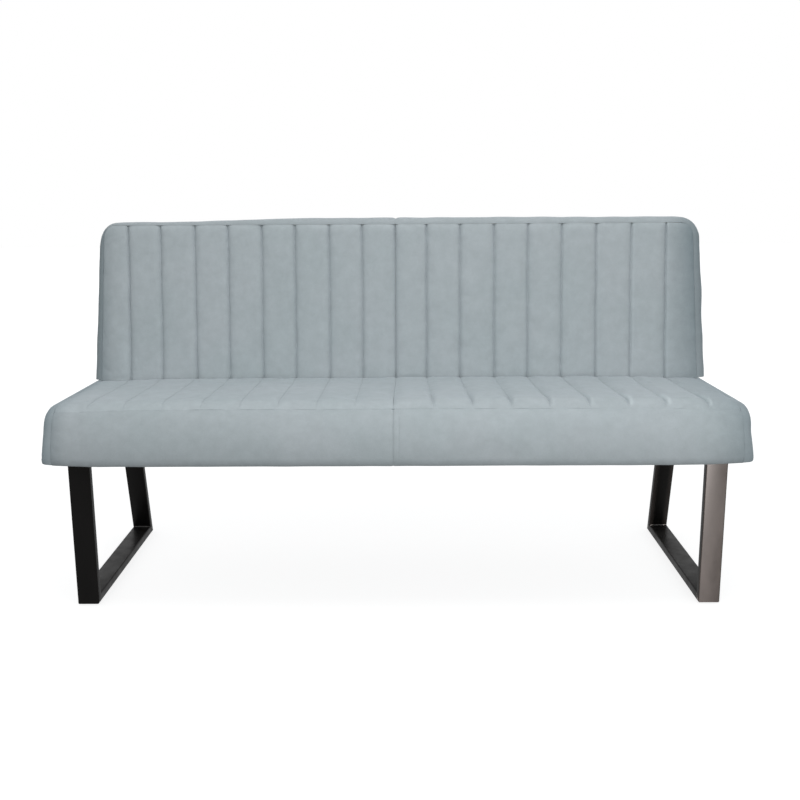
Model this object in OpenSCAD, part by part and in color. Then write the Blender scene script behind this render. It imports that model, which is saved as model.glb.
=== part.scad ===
// Upholstered dining bench: a ribbed seat and backrest on two steel leg frames.
// X runs along the bench, +Y is the rear, +Z is up, and the origin is on the floor
// at the centre of the bench's plan. All sizes are in millimetres.

/* [Overall] */
// Length over the bulge of the two side panels
bench_l = 1550; // [1300:10:1900]
// Depth from the nose of the seat to the heels of the legs
bench_d = 637; // [610:1:680]
// Height of the underside of the seat above the floor
leg_h = 373; // [330:1:420]

/* [Seat] */
// Depth of the sitting surface, from the nose to the backrest
seat_reach = 405; // [395:1:412]
// Thickness of the seat at its side seams, measured at mid depth
seat_t = 112; // [108:1:130]
// Fall of the sitting surface towards the backrest, in degrees
seat_slope = 1.2; // [0:0.1:2]
// Rise of the sitting surface between its ends
seat_crown = 10; // [2:0.5:12]
// Distance from the nose back to where its curve meets the flat top
nose_run = 94; // [80:1:110]
// Height of the upright foot of the nose above the underside
nose_foot = 9; // [8:1:20]
// Angle on the nose curve, above the horizontal, where the cross seam lies
nose_seam_deg = 65; // [55:1:75]

/* [Backrest] */
// Thickness of the backrest where it meets the seat
back_t = 153; // [145:1:165]
// Height of the top seam of the backrest above the seat
back_h = 388; // [320:1:450]
// Recline of the front of the backrest from upright, in degrees
recline = 8; // [5:0.5:9]
// Narrowing of each end of the backrest from the seat to the top
back_taper = 16; // [0:1:30]
// Radius of the top corners of the backrest
back_corner_r = 30; // [22:1:45]
// Bulge of the border at the ends and top of the backrest
border_bulge = 14; // [8:1:18]
// Depth that the foot of the backrest's panel tucks below the seat
back_tuck = 34; // [20:1:36]

/* [Upholstery] */
// Number of ribs along the bench, an even number
rib_n = 18; // [14:2:22]
// Height of a rib above the seams beside it
rib_puff = 4.5; // [2:0.5:7]
// Depth of a sewn seam below the cover
seam_dip = 4; // [1:0.5:5]
// Spread of the ribs of the seat towards the nose, as a share of their width
fan_share = 0.025; // [0:0.005:0.03]
// Bulge of the side panels of the seat beyond their seams
side_bulge = 19; // [16:1:24]
// Thickness of a ribbed panel with the wadding sewn to it
panel_t = 10; // [8:0.5:12]
// Thickness of a plain panel with its fleece
plain_t = 3; // [2:0.5:4]
// Bulge of the rear panels
rear_bulge = 4; // [1:0.5:8]
// Thickness of the hem folded under the seat
hem_t = 2; // [1:0.5:3]
// Width of the hem folded under the rails
hem_w = 16; // [12:1:17]
// Thickness of the dust cover
dust_t = 0.7; // [0.5:0.1:1.5]
// Gap left at each sewn seam
seam_gap = 0.3; // [0.2:0.1:0.6]

/* [Timber frame] */
// Height of the long rails and end rails of the seat
rail_h = 60; // [55:1:62]
// Thickness of the long rails and of the cross rails
rail_t = 25; // [20:1:30]
// Thickness of the end rails that the legs are bolted to
end_rail_t = 44; // [36:1:46]
// Height of the cross rails
cross_h = 40; // [30:1:45]
// Thickness of the plywood ribs of the backrest
ply_t = 18; // [15:1:21]
// Distance from the nose back to the front rail
nose_foam_t = 34; // [32:1:40]
// Distance from the front of the backrest to its timber
back_pad_t = 46; // [40:1:50]
// Thickness of the foam over the top rail of the backrest
back_cap_t = 14; // [10:1:24]
// Thickness of the hardboard behind the backrest
board_t = 3; // [2:0.5:5]
// Clearance between pieces that fit together
fit = 0.2; // [0.1:0.1:0.3]

/* [Suspension] */
// Width of a strap of elastic webbing
strap_w = 60; // [40:1:65]
// Thickness of a strap of elastic webbing
strap_t = 1.5; // [1:0.1:2.5]
// Number of straps in each bay of the seat
seat_strap_n = 3; // [2:1:3]
// Number of straps in each bay of the backrest
back_strap_n = 3; // [2:1:3]
// Thickness of the felt over the straps of the seat
felt_t = 3; // [2:0.5:4]

/* [Legs] */
// Distance from the nose of the seat back to the front of the legs
leg_setback = 119; // [105:1:140]
// Distance from the end of the bench in to the outer face of a leg
leg_inset = 17; // [12:1:22]
// Width of the steel tube
tube_w = 50; // [40:1:56]
// Depth of the steel tube
tube_d = 20; // [18:1:30]
// Wall of the steel tube
tube_wall = 2; // [1.5:0.5:3]
// Thickness of the top plate of a leg
plate_t = 5; // [4:1:8]
// Distance from the rear of the seat in to the end of the top plate
plate_inset = 5; // [3:1:12]
// Thickness of a floor glide
glide_t = 3; // [2:0.5:5]
// Radius of a floor glide
glide_r = 9; // [7:0.5:10]
// Distance from each end of a leg to its floor glide
glide_inset = 45; // [35:1:80]

/* [Fasteners] */
// Radius of the thread of the bolts
bolt_r = 4; // [3:0.5:4.5]
// Clearance round a bolt in its hole
bolt_clear = 0.5; // [0.3:0.1:1]
// Number of bolts that hold a leg
leg_bolt_n = 3; // [2:1:4]
// Number of bolts that hold a rib of the backrest
rib_bolt_n = 2; // [1:1:2]
// Radius of a bolt head or nut
head_r = 7; // [6:0.5:8]
// Height of a bolt head
head_h = 4.4; // [3:0.1:5]
// Radius of a washer
washer_r = 9; // [8.5:0.5:10]
// Thickness of a washer
washer_t = 1.6; // [1:0.1:2]
// Height of a nut
nut_h = 6.5; // [5:0.1:8]
// Length of a tee nut's barrel
tee_l = 9; // [7:1:12]
// Radius of a tee nut's barrel
tee_r = 5.2; // [5.1:0.1:6]
// Thickness of a tee nut's flange
tee_flange_t = 1.4; // [0.8:0.1:1.5]
// Radius of a wood screw's shank
screw_r = 2.5; // [2:0.25:3]
// Length of a long wood screw
screw_l = 75; // [65:1:85]
// Length of a short wood screw
short_screw_l = 50; // [40:1:55]
// Height of a wood screw's head
screw_head_h = 2.5; // [2:0.5:4]
// Length of a staple's crown
staple_l = 10; // [8:1:12]
// Thickness of a staple's crown
staple_t = 0.6; // [0.5:0.1:0.8]
// Distance between staples
staple_pitch = 60; // [40:1:90]

/* [Hidden] */
$fn = 13;
// Overrun of a cut past the face that it opens
over = 1;
// Thickness of the slices that a bulge is hulled from
slice_t = 0.1;

// Ends and seams along X
end_x = bench_l / 2;
seam_x = end_x - side_bulge;
rib_w = 2 * seam_x / rib_n;
half_gap = seam_gap / 2;
back_top_x = seam_x - back_taper;
timber_x = seam_x - half_gap;
end_rail_x = timber_x - end_rail_t;
end_rib_x = end_rail_x - fit - ply_t;
inner_rib_share = 1 / 3;
inner_rib_x = inner_rib_share * end_rib_x - ply_t / 2;
leg_x = end_x - leg_inset - tube_w / 2;

// Stations along Y
nose_y = -bench_d / 2;
heel_y = bench_d / 2;
back_y = nose_y + seat_reach;
rear_y = back_y + back_t;
nose_cy = nose_y + nose_run;
front_rail_y = nose_y + nose_foam_t;
// The ribs of the backrest need room in front of it at the crease
crease_y = back_y - rib_puff - seam_gap;
rear_in = rear_y - plain_t - fit;
timber_rear = rear_in - board_t - fit;
rear_rail_y = timber_rear - rail_t;
leg_front_y = nose_y + leg_setback;
leg_rear_y = rear_y - plate_inset;

// Levels along Z
hem_z = leg_h + dust_t + half_gap;
frame_z = hem_z + hem_t + fit;
frame_top = frame_z + rail_h;
seat_z = leg_h + seat_t;
back_top_z = seat_z + back_h;
nose_cz = leg_h + nose_foot;
strap_z = frame_top + fit;
felt_z = strap_z + strap_t + fit;
foam_z = felt_z + felt_t + fit;
plate_z = leg_h - plate_t;
top_rail_z = back_top_z - back_cap_t - rail_t;

// Height of the side seam of the seat at a depth y
function edge_z(y) = seat_z - tan(seat_slope) * y;
nose_rise = edge_z(nose_cy) - nose_cz;
// Depth of the front of the backrest at a height z, and of its timber
function back_front(z) = back_y + tan(recline) * (z - seat_z);
function timber_front(z) = back_front(z) + back_pad_t / cos(recline);
middle_rail_y = timber_front(frame_z) - rail_t;

// The crown is flat over most of the bench and falls near its ends
crown_power = 9;
function crown(x) = 1 - pow(min(1, abs(x) / seam_x), crown_power);

// Steps across one rib: places as shares of its width, and heights as shares of its puff
rib_place_shares = [0, 0.12, 0.5, 0.88];
rib_height_shares = [0, 0.72, 1, 0.72];
half_ribs = rib_n / 2;

// Columns of half a ribbed panel from the centre join out: [place in ribs, share of the puff]
rib_cols = [for (i = [0 : half_ribs - 1], k = [0 : len(rib_place_shares) - 1])
    [i + rib_place_shares[k], rib_height_shares[k]], [half_ribs, 0]];
// A column's place along X, clear of the centre join and of the end seam
function col_x(c) = min(timber_x, max(half_gap, c * rib_w));

// A closed solid between two grids of points that have the same rows and columns. A row's
// step turned towards a column's step points from the second grid to the first.
module slab(first, second) {
    rows = len(first);
    cols = len(first[0]);
    size = rows * cols;
    points = concat([for (r = second, p = r) p], [for (r = first, p = r) p]);
    faces = concat(
        [for (r = [0 : rows - 2], c = [0 : cols - 2]) each
            let (a = r * cols + c, d = a + cols) [[a, d + 1, a + 1], [a, d, d + 1]]],
        [for (r = [0 : rows - 2], c = [0 : cols - 2]) each
            let (a = size + r * cols + c, d = a + cols) [[a, a + 1, d + 1], [a, d + 1, d]]],
        [for (c = [0 : cols - 2]) each
            let (a = c, i = size + a) [[a, a + 1, i + 1], [a, i + 1, i]]],
        [for (c = [0 : cols - 2]) each
            let (a = size - cols + c, i = size + a) [[a, i + 1, a + 1], [a, i, i + 1]]],
        [for (r = [0 : rows - 2]) each
            let (a = r * cols, b = a + cols, i = size + a, j = size + b) [[a, j, b], [a, i, j]]],
        [for (r = [0 : rows - 2]) each
            let (a = (r + 1) * cols - 1, b = a + cols, i = size + a, j = size + b) [[a, b, j], [a, j, i]]]);
    polyhedron(points, faces);
}

// Stands a [y, z] outline up as a prism from x, of thickness t
module along_x(x, t) {
    translate([x, 0, 0]) rotate([90, 0, 90]) linear_extrude(t) children();
}

// Makes children for the right-hand end as they are, or mirrored for the left-hand end
module hand(side) {
    if (side > 0) children();
    else mirror([1, 0, 0]) children();
}

// Point on the nose curve, raised by lift and moved out by a share of the crown
nose_crown_share = 0.8;
function nose_point(x, deg, lift, swell) =
    let (rise = swell * seat_crown * crown(x))
    [x, nose_cy - (nose_run - nose_crown_share * (seat_crown - rise) + lift) * cos(deg),
        nose_cz + (nose_rise + rise + lift) * sin(deg)];

// Half angle of the gap at the cross seam
seam_gap_deg = atan(half_gap / nose_rise);
// Rows of the ribbed seat panel from the rear: depths on its flat, then angles on the nose,
// with their seam dip, puff and fan as shares
crease_roll = 14;
flat_row_share = 0.35;
nose_roll_deg = (nose_seam_deg + 90) / 2;
seat_row_ys = [crease_y, crease_y - crease_roll, crease_y - seat_reach * flat_row_share, nose_cy];
seat_row_degs = [nose_roll_deg, nose_seam_deg + seam_gap_deg];
seat_dip_shares = [1.6, 0, 0, 0, 0, 1];
seat_puff_shares = [0, 0.9, 1, 1, 0.9, 0];
seat_fan_shares = [0, 0, 0.45, 0.85, 0.95, 1];
// The ribs of the seat spread towards the nose, but its end seam stays straight
fan_power = 12;
function fan_x(x, t) = x * (1 + fan_share * t * (1 - pow(x / timber_x, fan_power)));

// Point of the seat at row r and place x, raised by lift and swollen by a share of the crown
function seat_point(r, x, lift, swell) = r < len(seat_row_ys)
    ? [x, seat_row_ys[r], edge_z(seat_row_ys[r]) + swell * seat_crown * crown(x) + lift]
    : nose_point(x, seat_row_degs[r - len(seat_row_ys)], lift, swell);

module seat_ribbed_panel(side) {
    rows = [0 : len(seat_puff_shares) - 1];
    outer = [for (r = rows) [for (c = rib_cols) seat_point(r, fan_x(col_x(c[0]), seat_fan_shares[r]),
        rib_puff * c[1] * seat_puff_shares[r] - seam_dip * seat_dip_shares[r], 1)]];
    inner = [for (r = rows) [for (c = rib_cols)
        seat_point(r, fan_x(col_x(c[0]), seat_fan_shares[r]), -panel_t, 0)]];
    color("lightsteelblue") hand(side) slab(outer, inner);
}

// Plain nose panel: from the cross seam over the nose and under the front rail
nose_deg_shares = [0.94, 0.76, 0.57, 0.38, 0.19, 0];
nose_col_shares = [0, 0.25, 0.5, 0.7, 0.82, 0.9, 0.96, 1];
hem_roll = 6;
roll_share = 0.2;
foot_y = nose_cy - nose_run;
foot_in = foot_y + nose_crown_share * seat_crown + panel_t;

module nose_panel(side) {
    xs = [for (s = nose_col_shares) half_gap + s * (timber_x - half_gap)];
    first_deg = nose_seam_deg - seam_gap_deg;
    hem_y = front_rail_y + hem_w;
    outer = concat(
        [[for (x = xs) nose_point(x, first_deg, -seam_dip, 1)]],
        [for (s = nose_deg_shares) [for (x = xs) nose_point(x, s * nose_seam_deg, 0, 1)]],
        [[for (x = xs) [x, nose_point(x, 0, 0, 1)[1] + hem_roll * roll_share, hem_z + hem_roll]]],
        [[for (x = xs) [x, nose_point(x, 0, 0, 1)[1] + hem_roll, hem_z]]],
        [[for (x = xs) [x, hem_y, hem_z]]]);
    inner = concat(
        [[for (x = xs) nose_point(x, first_deg, -panel_t, 0)]],
        [for (s = nose_deg_shares) [for (x = xs) nose_point(x, s * nose_seam_deg, -panel_t, 0)]],
        [[for (x = xs) [x, foot_in, hem_z + hem_roll]]],
        [[for (x = xs) [x, foot_in + hem_t, hem_z + hem_t]]],
        [[for (x = xs) [x, hem_y, hem_z + hem_t]]]);
    color("lightsteelblue") hand(side) slab(outer, inner);
}

// Outline of the seat at its end seams, as [y, z]
side_degs = [0, 15, 30, 45, 60, 75, 90];
side_outline = concat(
    [[foot_y + nose_crown_share * seat_crown + hem_roll, hem_z],
     [foot_y + nose_crown_share * seat_crown + hem_roll * roll_share, hem_z + hem_roll]],
    [for (d = side_degs) let (p = nose_point(seam_x, d, 0, 1)) [p[1], p[2]]],
    [[rear_y, edge_z(rear_y)], [rear_y, hem_z]]);

// Steps across the bulge of a side panel, as degrees of a quarter circle
bulge_degs = [0, 35, 65, 90];
module seat_side_panel(side) {
    hem_y = front_rail_y + hem_w + seam_gap;
    color("lightsteelblue") hand(side) {
        hull() {
            for (d = bulge_degs)
                along_x(timber_x + seam_gap + (side_bulge - half_gap - slice_t) * sin(d), slice_t)
                    offset(delta = -side_bulge * (1 - cos(d))) polygon(side_outline);
        }
        translate([timber_x + seam_gap + slice_t - hem_w, hem_y, hem_z])
            cube([hem_w, timber_rear - hem_w - hem_y, hem_t]);
    }
}

// Puts children in the plane of the front of the backrest: X along it, Z up it, -Y out of it
module back_pose() {
    translate([0, back_y, seat_z]) rotate([-recline, 0, 0]) children();
}
back_run = back_h / cos(recline);
// Drop of the top seam below its straight run at a place x, round the corner
function corner_drop(x) = let (past = max(0, x - (back_top_x - back_corner_r)))
    back_corner_r - sqrt(max(0, back_corner_r * back_corner_r - past * past));
// Place along X of a column at a height h up the backrest, with the taper in its last rib
last_rib_x = (half_ribs - 1) * rib_w;
function back_x(c, h) =
    let (edge = timber_x - back_taper * max(0, h) / back_run, x = col_x(c))
    x <= last_rib_x ? x : last_rib_x + (x - last_rib_x) * (edge - last_rib_x) / (timber_x - last_rib_x);
// Height of the top of a column, inside the top seam
function back_top(c) = back_run - half_gap - corner_drop(back_x(c, back_run));
// The last rib has closer columns round the top corner
corner_place_shares = [0.7, 0.88, 0.95, 1];
corner_height_shares = [0.97, 0.72, 0.45, 0];
corner_cols = [for (i = [0 : len(corner_place_shares) - 1])
    [half_ribs - 1 + corner_place_shares[i], corner_height_shares[i]]];
back_cols = concat([for (i = [0 : len(rib_cols) - 3]) rib_cols[i]], corner_cols);
// Rows of the ribbed back panel, foot to top: height, seam dip and puff as shares
tuck_share = back_tuck / back_run;
back_row_shares = [[-tuck_share, 1, 0], [0.02, 0, 0.6], [0.08, 0, 1], [0.5, 0, 1],
    [0.92, 0, 1], [0.975, 0, 0.7], [1, 1, 0]];
function back_place(c, share) = let (h = share * (share < 0 ? back_run : back_top(c))) [back_x(c, h), h];

module back_ribbed_panel(side) {
    outer = [for (r = back_row_shares) [for (c = back_cols)
        let (p = back_place(c[0], r[0])) [p[0], seam_dip * r[1] - rib_puff * c[1] * r[2], p[1]]]];
    inner = [for (r = back_row_shares) [for (c = back_cols)
        let (p = back_place(c[0], r[0])) [p[0], panel_t, p[1]]]];
    color("lightsteelblue") hand(side) back_pose() slab(inner, outer);
}

// Path of the border in the plane of the backrest, from its foot up, round the corner and in
border_foot = 2;
border_side_shares = [0.3, 0.62, 0.94];
border_top_shares = [0.95, 0.7, 0.35, 0];
border_path = concat(
    [[back_x(half_ribs, 0), border_foot]],
    [for (s = border_side_shares) back_place(half_ribs, s)],
    [for (i = [len(corner_cols) - 1 : -1 : 0]) back_place(corner_cols[i][0], 1)],
    [for (t = border_top_shares) back_place(half_ribs * t, 1)]);
// Steps across the border: places as shares of its depth, and heights as shares of its bulge
border_depth_shares = [0, 0.03, 0.12, 0.3, 0.5, 0.7, 0.88, 0.97, 1];
border_height_shares = [0.08, 0.42, 0.78, 0.96, 1, 0.96, 0.78, 0.42, 0.08];

// Point of the border at step i of its path, moved out by a distance, at a share of its depth
function border_point(i, out, share) =
    let (n = len(border_path) - 1, p = border_path[i], a = border_path[max(0, i - 1)],
        b = border_path[min(n, i + 1)], t = b - a, m = norm(t),
        x = p[0] + out * (i == n ? 0 : t[1] / m), h = p[1] + out * (i == 0 ? 0 : -t[0] / m),
        z = seat_z + h * cos(recline), front = back_front(z))
    [x, front + share * (rear_y - front), z];

module back_border(side) {
    steps = [0 : len(border_path) - 1];
    outer = [for (k = [0 : len(border_depth_shares) - 1]) [for (i = steps)
        border_point(i, seam_gap + border_bulge * border_height_shares[k], border_depth_shares[k])]];
    inner = [for (s = border_depth_shares) [for (i = steps) border_point(i, seam_gap, s)]];
    color("lightsteelblue") hand(side) slab(outer, inner);
}

// Rear panel: rows as heights from the hem to the top seam, columns as shares of the width
rear_row_shares = [0, 0.06, 0.25, 0.5, 0.75, 0.94, 1];
rear_bulge_shares = [0, 0.5, 0.9, 1, 0.9, 0.5, 0];
rear_cols = concat([for (i = [len(border_top_shares) - 1 : -1 : 0]) half_ribs * border_top_shares[i]],
    [for (c = corner_cols) c[0]]);
rear_col_bulge_shares = [0.9, 1, 1, 0.5, 0.3, 0.2, 0.1, 0];

module rear_panel(side) {
    low_z = hem_z + hem_roll;
    function spot(row, col) =
        let (z = low_z + rear_row_shares[row] * (seat_z + cos(recline) * back_top(rear_cols[col]) - low_z))
        [back_x(rear_cols[col], (z - seat_z) / cos(recline)), z];
    cols = [0 : len(rear_cols) - 1];
    rows = [0 : len(rear_row_shares) - 1];
    outer = concat(
        [[for (c = cols) [spot(0, c)[0], timber_rear - hem_w, hem_z]]],
        [[for (c = cols) [spot(0, c)[0], rear_y - hem_roll, hem_z]]],
        [for (r = rows) [for (c = cols) let (p = spot(r, c))
            [p[0], rear_y + rear_bulge * rear_bulge_shares[r] * rear_col_bulge_shares[c], p[1]]]]);
    inner = concat(
        [[for (c = cols) [spot(0, c)[0], timber_rear - hem_w, hem_z + hem_t]]],
        [[for (c = cols) [spot(0, c)[0], rear_y - hem_roll, hem_z + hem_t]]],
        [for (r = rows) [for (c = cols) let (p = spot(r, c)) [p[0], rear_y - plain_t, p[1]]]]);
    color("lightsteelblue") hand(side) slab(outer, inner);
}

// Plan of the timber frame
module frame_plan(inset) {
    translate([inset - timber_x, front_rail_y + inset])
        square([2 * (timber_x - inset), timber_rear - front_rail_y - 2 * inset]);
}

// Distance from the edge of the timber frame in to the edge of the dust cover
dust_inset = 6;
module dust_cover() {
    color("black") difference() {
        translate([0, 0, leg_h]) linear_extrude(dust_t) frame_plan(dust_inset);
        leg_bolt_holes();
    }
}

// Crowns of the staples that hold the dust cover, along its front and rear edges
module dust_cover_staples() {
    edge = dust_inset + staple_l / 2;
    count = floor((leg_x - tube_w / 2 - staple_l) / staple_pitch);
    color("silver")
        for (i = [-count : count], y = [front_rail_y + edge, timber_rear - edge])
            translate([i * staple_pitch - staple_l / 2, y, leg_h - staple_t])
                cube([staple_l, staple_t, staple_t]);
}

// Foam of the seat: it lies on the felt and turns down in front of the front rail. Its
// corners lie at the rows of the panels, so that their flats stay parallel.
foam_degs = concat([for (i = [len(nose_deg_shares) - 1 : -1 : 0]) nose_deg_shares[i] * nose_seam_deg],
    [nose_seam_deg, nose_roll_deg, 90]);
module seat_foam() {
    run = nose_cy - foot_in - fit;
    rise = nose_rise - panel_t - fit;
    top = [for (d = foam_degs) [nose_cy - run * cos(d), nose_cz + rise * sin(d)]];
    outline = concat(
        [[front_rail_y - fit, frame_z], [foot_in + hem_t + fit, frame_z], [foot_in + fit, hem_z + hem_roll]],
        top, [[crease_y, edge_z(crease_y) - panel_t - fit], [crease_y, foam_z], [front_rail_y - fit, foam_z]]);
    color("khaki") along_x(-timber_x, 2 * timber_x) polygon(outline);
}

module seat_felt() {
    color("dimgray") translate([-timber_x, front_rail_y, felt_z])
        cube([2 * timber_x, crease_y - front_rail_y, felt_t]);
}

// Middle of bay b of the three bays that the inner ribs and cross rails make, and of strap i in it
function bay_x(b) = b * (inner_rib_x + ply_t + (end_rib_x - inner_rib_x - ply_t) / 2);
function strap_x(b, i, n) = bay_x(b) + (i - (n - 1) / 2) * 2 * inner_rib_x / n;

module seat_webbing() {
    color("black") for (b = [-1 : 1], i = [0 : seat_strap_n - 1])
        translate([strap_x(b, i, seat_strap_n) - strap_w / 2, front_rail_y + fit, strap_z])
            cube([strap_w, middle_rail_y + rail_t - front_rail_y - 2 * fit, strap_t]);
}

// Straps of the backrest, upright from the lower rails to the top rail
module back_webbing() {
    depth = back_pad_t - strap_t - fit;
    low_h = (lower_rail_z - seat_z) / cos(recline) - depth * tan(recline);
    high_h = (top_rail_z + rail_t - seat_z) / cos(recline) - back_pad_t * tan(recline);
    color("black") back_pose() for (b = [-1 : 1], i = [0 : back_strap_n - 1])
        translate([strap_x(b, i, back_strap_n) - strap_w / 2, depth, low_h + fit])
            cube([strap_w, strap_t, high_h - low_h - 2 * fit]);
}

// Foam of the backrest: a slab in front of the timber that wraps its ends and its top rail
module back_foam() {
    foot = foam_z - seat_z;
    half = concat([[timber_x, foot], [timber_x, 0]],
        [for (i = [1 : len(border_path) - 2]) [border_path[i][0], border_path[i][1] * cos(recline)]]);
    outline = concat(half, [for (i = [len(half) - 1 : -1 : 0]) [-half[i][0], half[i][1]]]);
    front = panel_t + fit;
    back = back_pad_t - strap_t - 2 * fit;
    color("khaki") intersection() {
        translate([0, rear_in - fit, seat_z]) rotate([90, 0, 0])
            linear_extrude(rear_in - back_y + back_tuck) polygon(outline);
        difference() {
            along_x(-timber_x, 2 * timber_x) polygon([
                [back_front(foam_z) + front / cos(recline), foam_z],
                [timber_rear, foam_z], [timber_rear, back_top_z],
                [back_front(back_top_z) + front / cos(recline), back_top_z]]);
            along_x(-end_rib_x - ply_t - fit, 2 * (end_rib_x + ply_t + fit)) polygon([
                [back_front(foam_z - over) + back / cos(recline), foam_z - over],
                [timber_rear + over, foam_z - over], [timber_rear + over, top_rail_z + rail_t + fit],
                [back_front(top_rail_z + rail_t + fit) + back / cos(recline), top_rail_z + rail_t + fit]]);
        }
    }
}

module rear_board() {
    color("saddlebrown") translate([-end_rib_x - ply_t, timber_rear + fit, frame_top + fit])
        cube([2 * (end_rib_x + ply_t), board_t, top_rail_z + rail_t - frame_top - fit]);
}

// Long rails of the seat run between the end rails
module long_rail(y) {
    color("burlywood") difference() {
        translate([fit - end_rail_x, y, frame_z]) cube([2 * (end_rail_x - fit), rail_t, rail_h]);
        at_end_screws() screw_hole(screw_l);
        at_cross_screws() screw_hole(short_screw_l);
    }
}
module seat_front_rail() long_rail(front_rail_y);
module seat_middle_rail() long_rail(middle_rail_y);
module seat_rear_rail() long_rail(rear_rail_y);

module seat_end_rail(side) {
    color("burlywood") difference() {
        hand(side) translate([end_rail_x, front_rail_y, frame_z])
            cube([end_rail_t, timber_rear - front_rail_y, rail_h]);
        at_end_screws() screw_hole(screw_l);
        leg_bolt_holes();
        tee_nut_holes();
        for (y = rib_bolt_ys) end_bolt_hole(y);
    }
}

// Cross rails: between the front and middle rails, and beside the inner ribs
cross_x = inner_rib_x - fit - rail_t;
module seat_cross_rails() {
    front = front_rail_y + rail_t + fit;
    rear = middle_rail_y + rail_t + fit;
    color("burlywood") difference() {
        for (side = [-1, 1]) hand(side) {
            translate([cross_x, front, frame_z]) cube([rail_t, middle_rail_y - fit - front, cross_h]);
            translate([cross_x, rear, frame_z]) cube([rail_t, rear_rail_y - fit - rear, cross_h]);
        }
        at_cross_screws() screw_hole(short_screw_l);
        for (y = rib_bolt_ys) inner_bolt_hole(y);
    }
}

// Outline of a plywood rib of the backrest as [y, z], with its tongue between two rails
tongue_y = middle_rail_y + rail_t + fit;
rib_outline = [[tongue_y, frame_z], [rear_rail_y - fit, frame_z], [rear_rail_y - fit, frame_top + fit],
    [timber_rear, frame_top + fit], [timber_rear, top_rail_z - fit], [timber_front(top_rail_z), top_rail_z - fit],
    [timber_front(frame_top), frame_top], [tongue_y, frame_top]];
module plywood_rib(side, x) {
    color("burlywood") difference() {
        hand(side) along_x(x, ply_t) polygon(rib_outline);
        at_rib_screws() screw_hole(short_screw_l);
        for (y = rib_bolt_ys) {
            end_bolt_hole(y);
            inner_bolt_hole(y);
        }
    }
}

// Rail of the backrest between two heights and back to a depth, its front on the timber line
module back_rail(x, l, low, high, rear) {
    along_x(x, l) polygon([[timber_front(low), low], [rear, low], [rear, high], [timber_front(high), high]]);
}

module back_top_rail() {
    color("burlywood") difference() {
        back_rail(-end_rib_x - ply_t, 2 * (end_rib_x + ply_t), top_rail_z, top_rail_z + rail_t, timber_rear);
        at_rib_screws() screw_hole(short_screw_l);
    }
}

// Height of the underside of the lower rails of the backrest
lower_rail_z = foam_z + strap_t;
module back_lower_rails() {
    high = lower_rail_z + cross_h;
    rear = timber_front(high) + rail_t;
    outer_x = inner_rib_x + ply_t + fit;
    color("burlywood") {
        back_rail(fit - inner_rib_x, 2 * (inner_rib_x - fit), lower_rail_z, high, rear);
        for (side = [-1, 1]) hand(side)
            back_rail(outer_x, end_rib_x - fit - outer_x, lower_rail_z, high, rear);
    }
}

// A wood screw from the origin down along -Z, its countersunk head flush with the origin
module screw(l) {
    rotate_extrude() polygon([[0, 0], [2 * screw_r, 0], [screw_r, -screw_head_h], [screw_r, -l], [0, -l]]);
}
// The hole for it, which opens the face at the origin
module screw_hole(l) {
    r = screw_r + fit / 2;
    rotate_extrude() polygon([[0, over], [r + screw_r, over], [r + screw_r, 0],
        [r, -screw_head_h - fit], [r, -l - fit], [0, -l - fit]]);
}

// Places children, with +Z out of the timber, at the screws through the end rails
screw_z_shares = [0.28, 0.72];
long_rail_ys = [front_rail_y, middle_rail_y, rear_rail_y];
module at_end_screws() {
    for (side = [-1, 1], y = long_rail_ys, s = screw_z_shares)
        hand(side) translate([timber_x, y + rail_t / 2, frame_z + s * rail_h]) rotate([0, 90, 0]) children();
}

// The same at the screws through the long rails into the ends of the cross rails
module at_cross_screws() {
    z = frame_z + cross_h / 2;
    for (side = [-1, 1]) hand(side) {
        translate([cross_x + rail_t / 2, front_rail_y, z]) rotate([90, 0, 0]) children();
        translate([cross_x + rail_t / 2, timber_rear, z]) rotate([-90, 0, 0]) children();
    }
}

// The same at the screws down through the top rail into the plywood ribs
module at_rib_screws() {
    y = (timber_front(top_rail_z + rail_t) + timber_rear) / 2;
    for (side = [-1, 1], x = [inner_rib_x, end_rib_x])
        hand(side) translate([x + ply_t / 2, y, top_rail_z + rail_t]) children();
}

module frame_screws() {
    color("goldenrod") {
        at_end_screws() screw(screw_l);
        at_cross_screws() screw(short_screw_l);
        at_rib_screws() screw(short_screw_l);
    }
}

// Bolts that hold the ribs lie along X, at these depths, clear of the cross rails' screws
rib_bolt_shares = [0.3, 0.78];
rib_bolt_ys = [for (i = [0 : rib_bolt_n - 1])
    tongue_y + rib_bolt_shares[i] * (rear_rail_y - fit - tongue_y)];
rib_bolt_rise_share = 0.8;
rib_bolt_z = frame_z + rib_bolt_rise_share * cross_h;
end_bolt_x = timber_x - head_h - bolt_clear;
inner_bolt_x = cross_x;

module end_bolt_hole(y) {
    for (side = [-1, 1]) hand(side) translate([0, y, rib_bolt_z]) rotate([0, 90, 0]) {
        translate([0, 0, end_rib_x - over]) cylinder(h = end_bolt_x - end_rib_x + 2 * over, r = bolt_r + bolt_clear);
        translate([0, 0, end_bolt_x]) cylinder(h = timber_x - end_bolt_x + over, r = washer_r + bolt_clear);
    }
}
module inner_bolt_hole(y) {
    for (side = [-1, 1]) hand(side) translate([inner_bolt_x - over, y, rib_bolt_z]) rotate([0, 90, 0])
        cylinder(h = rail_t + fit + ply_t + 2 * over, r = bolt_r + bolt_clear);
}

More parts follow.
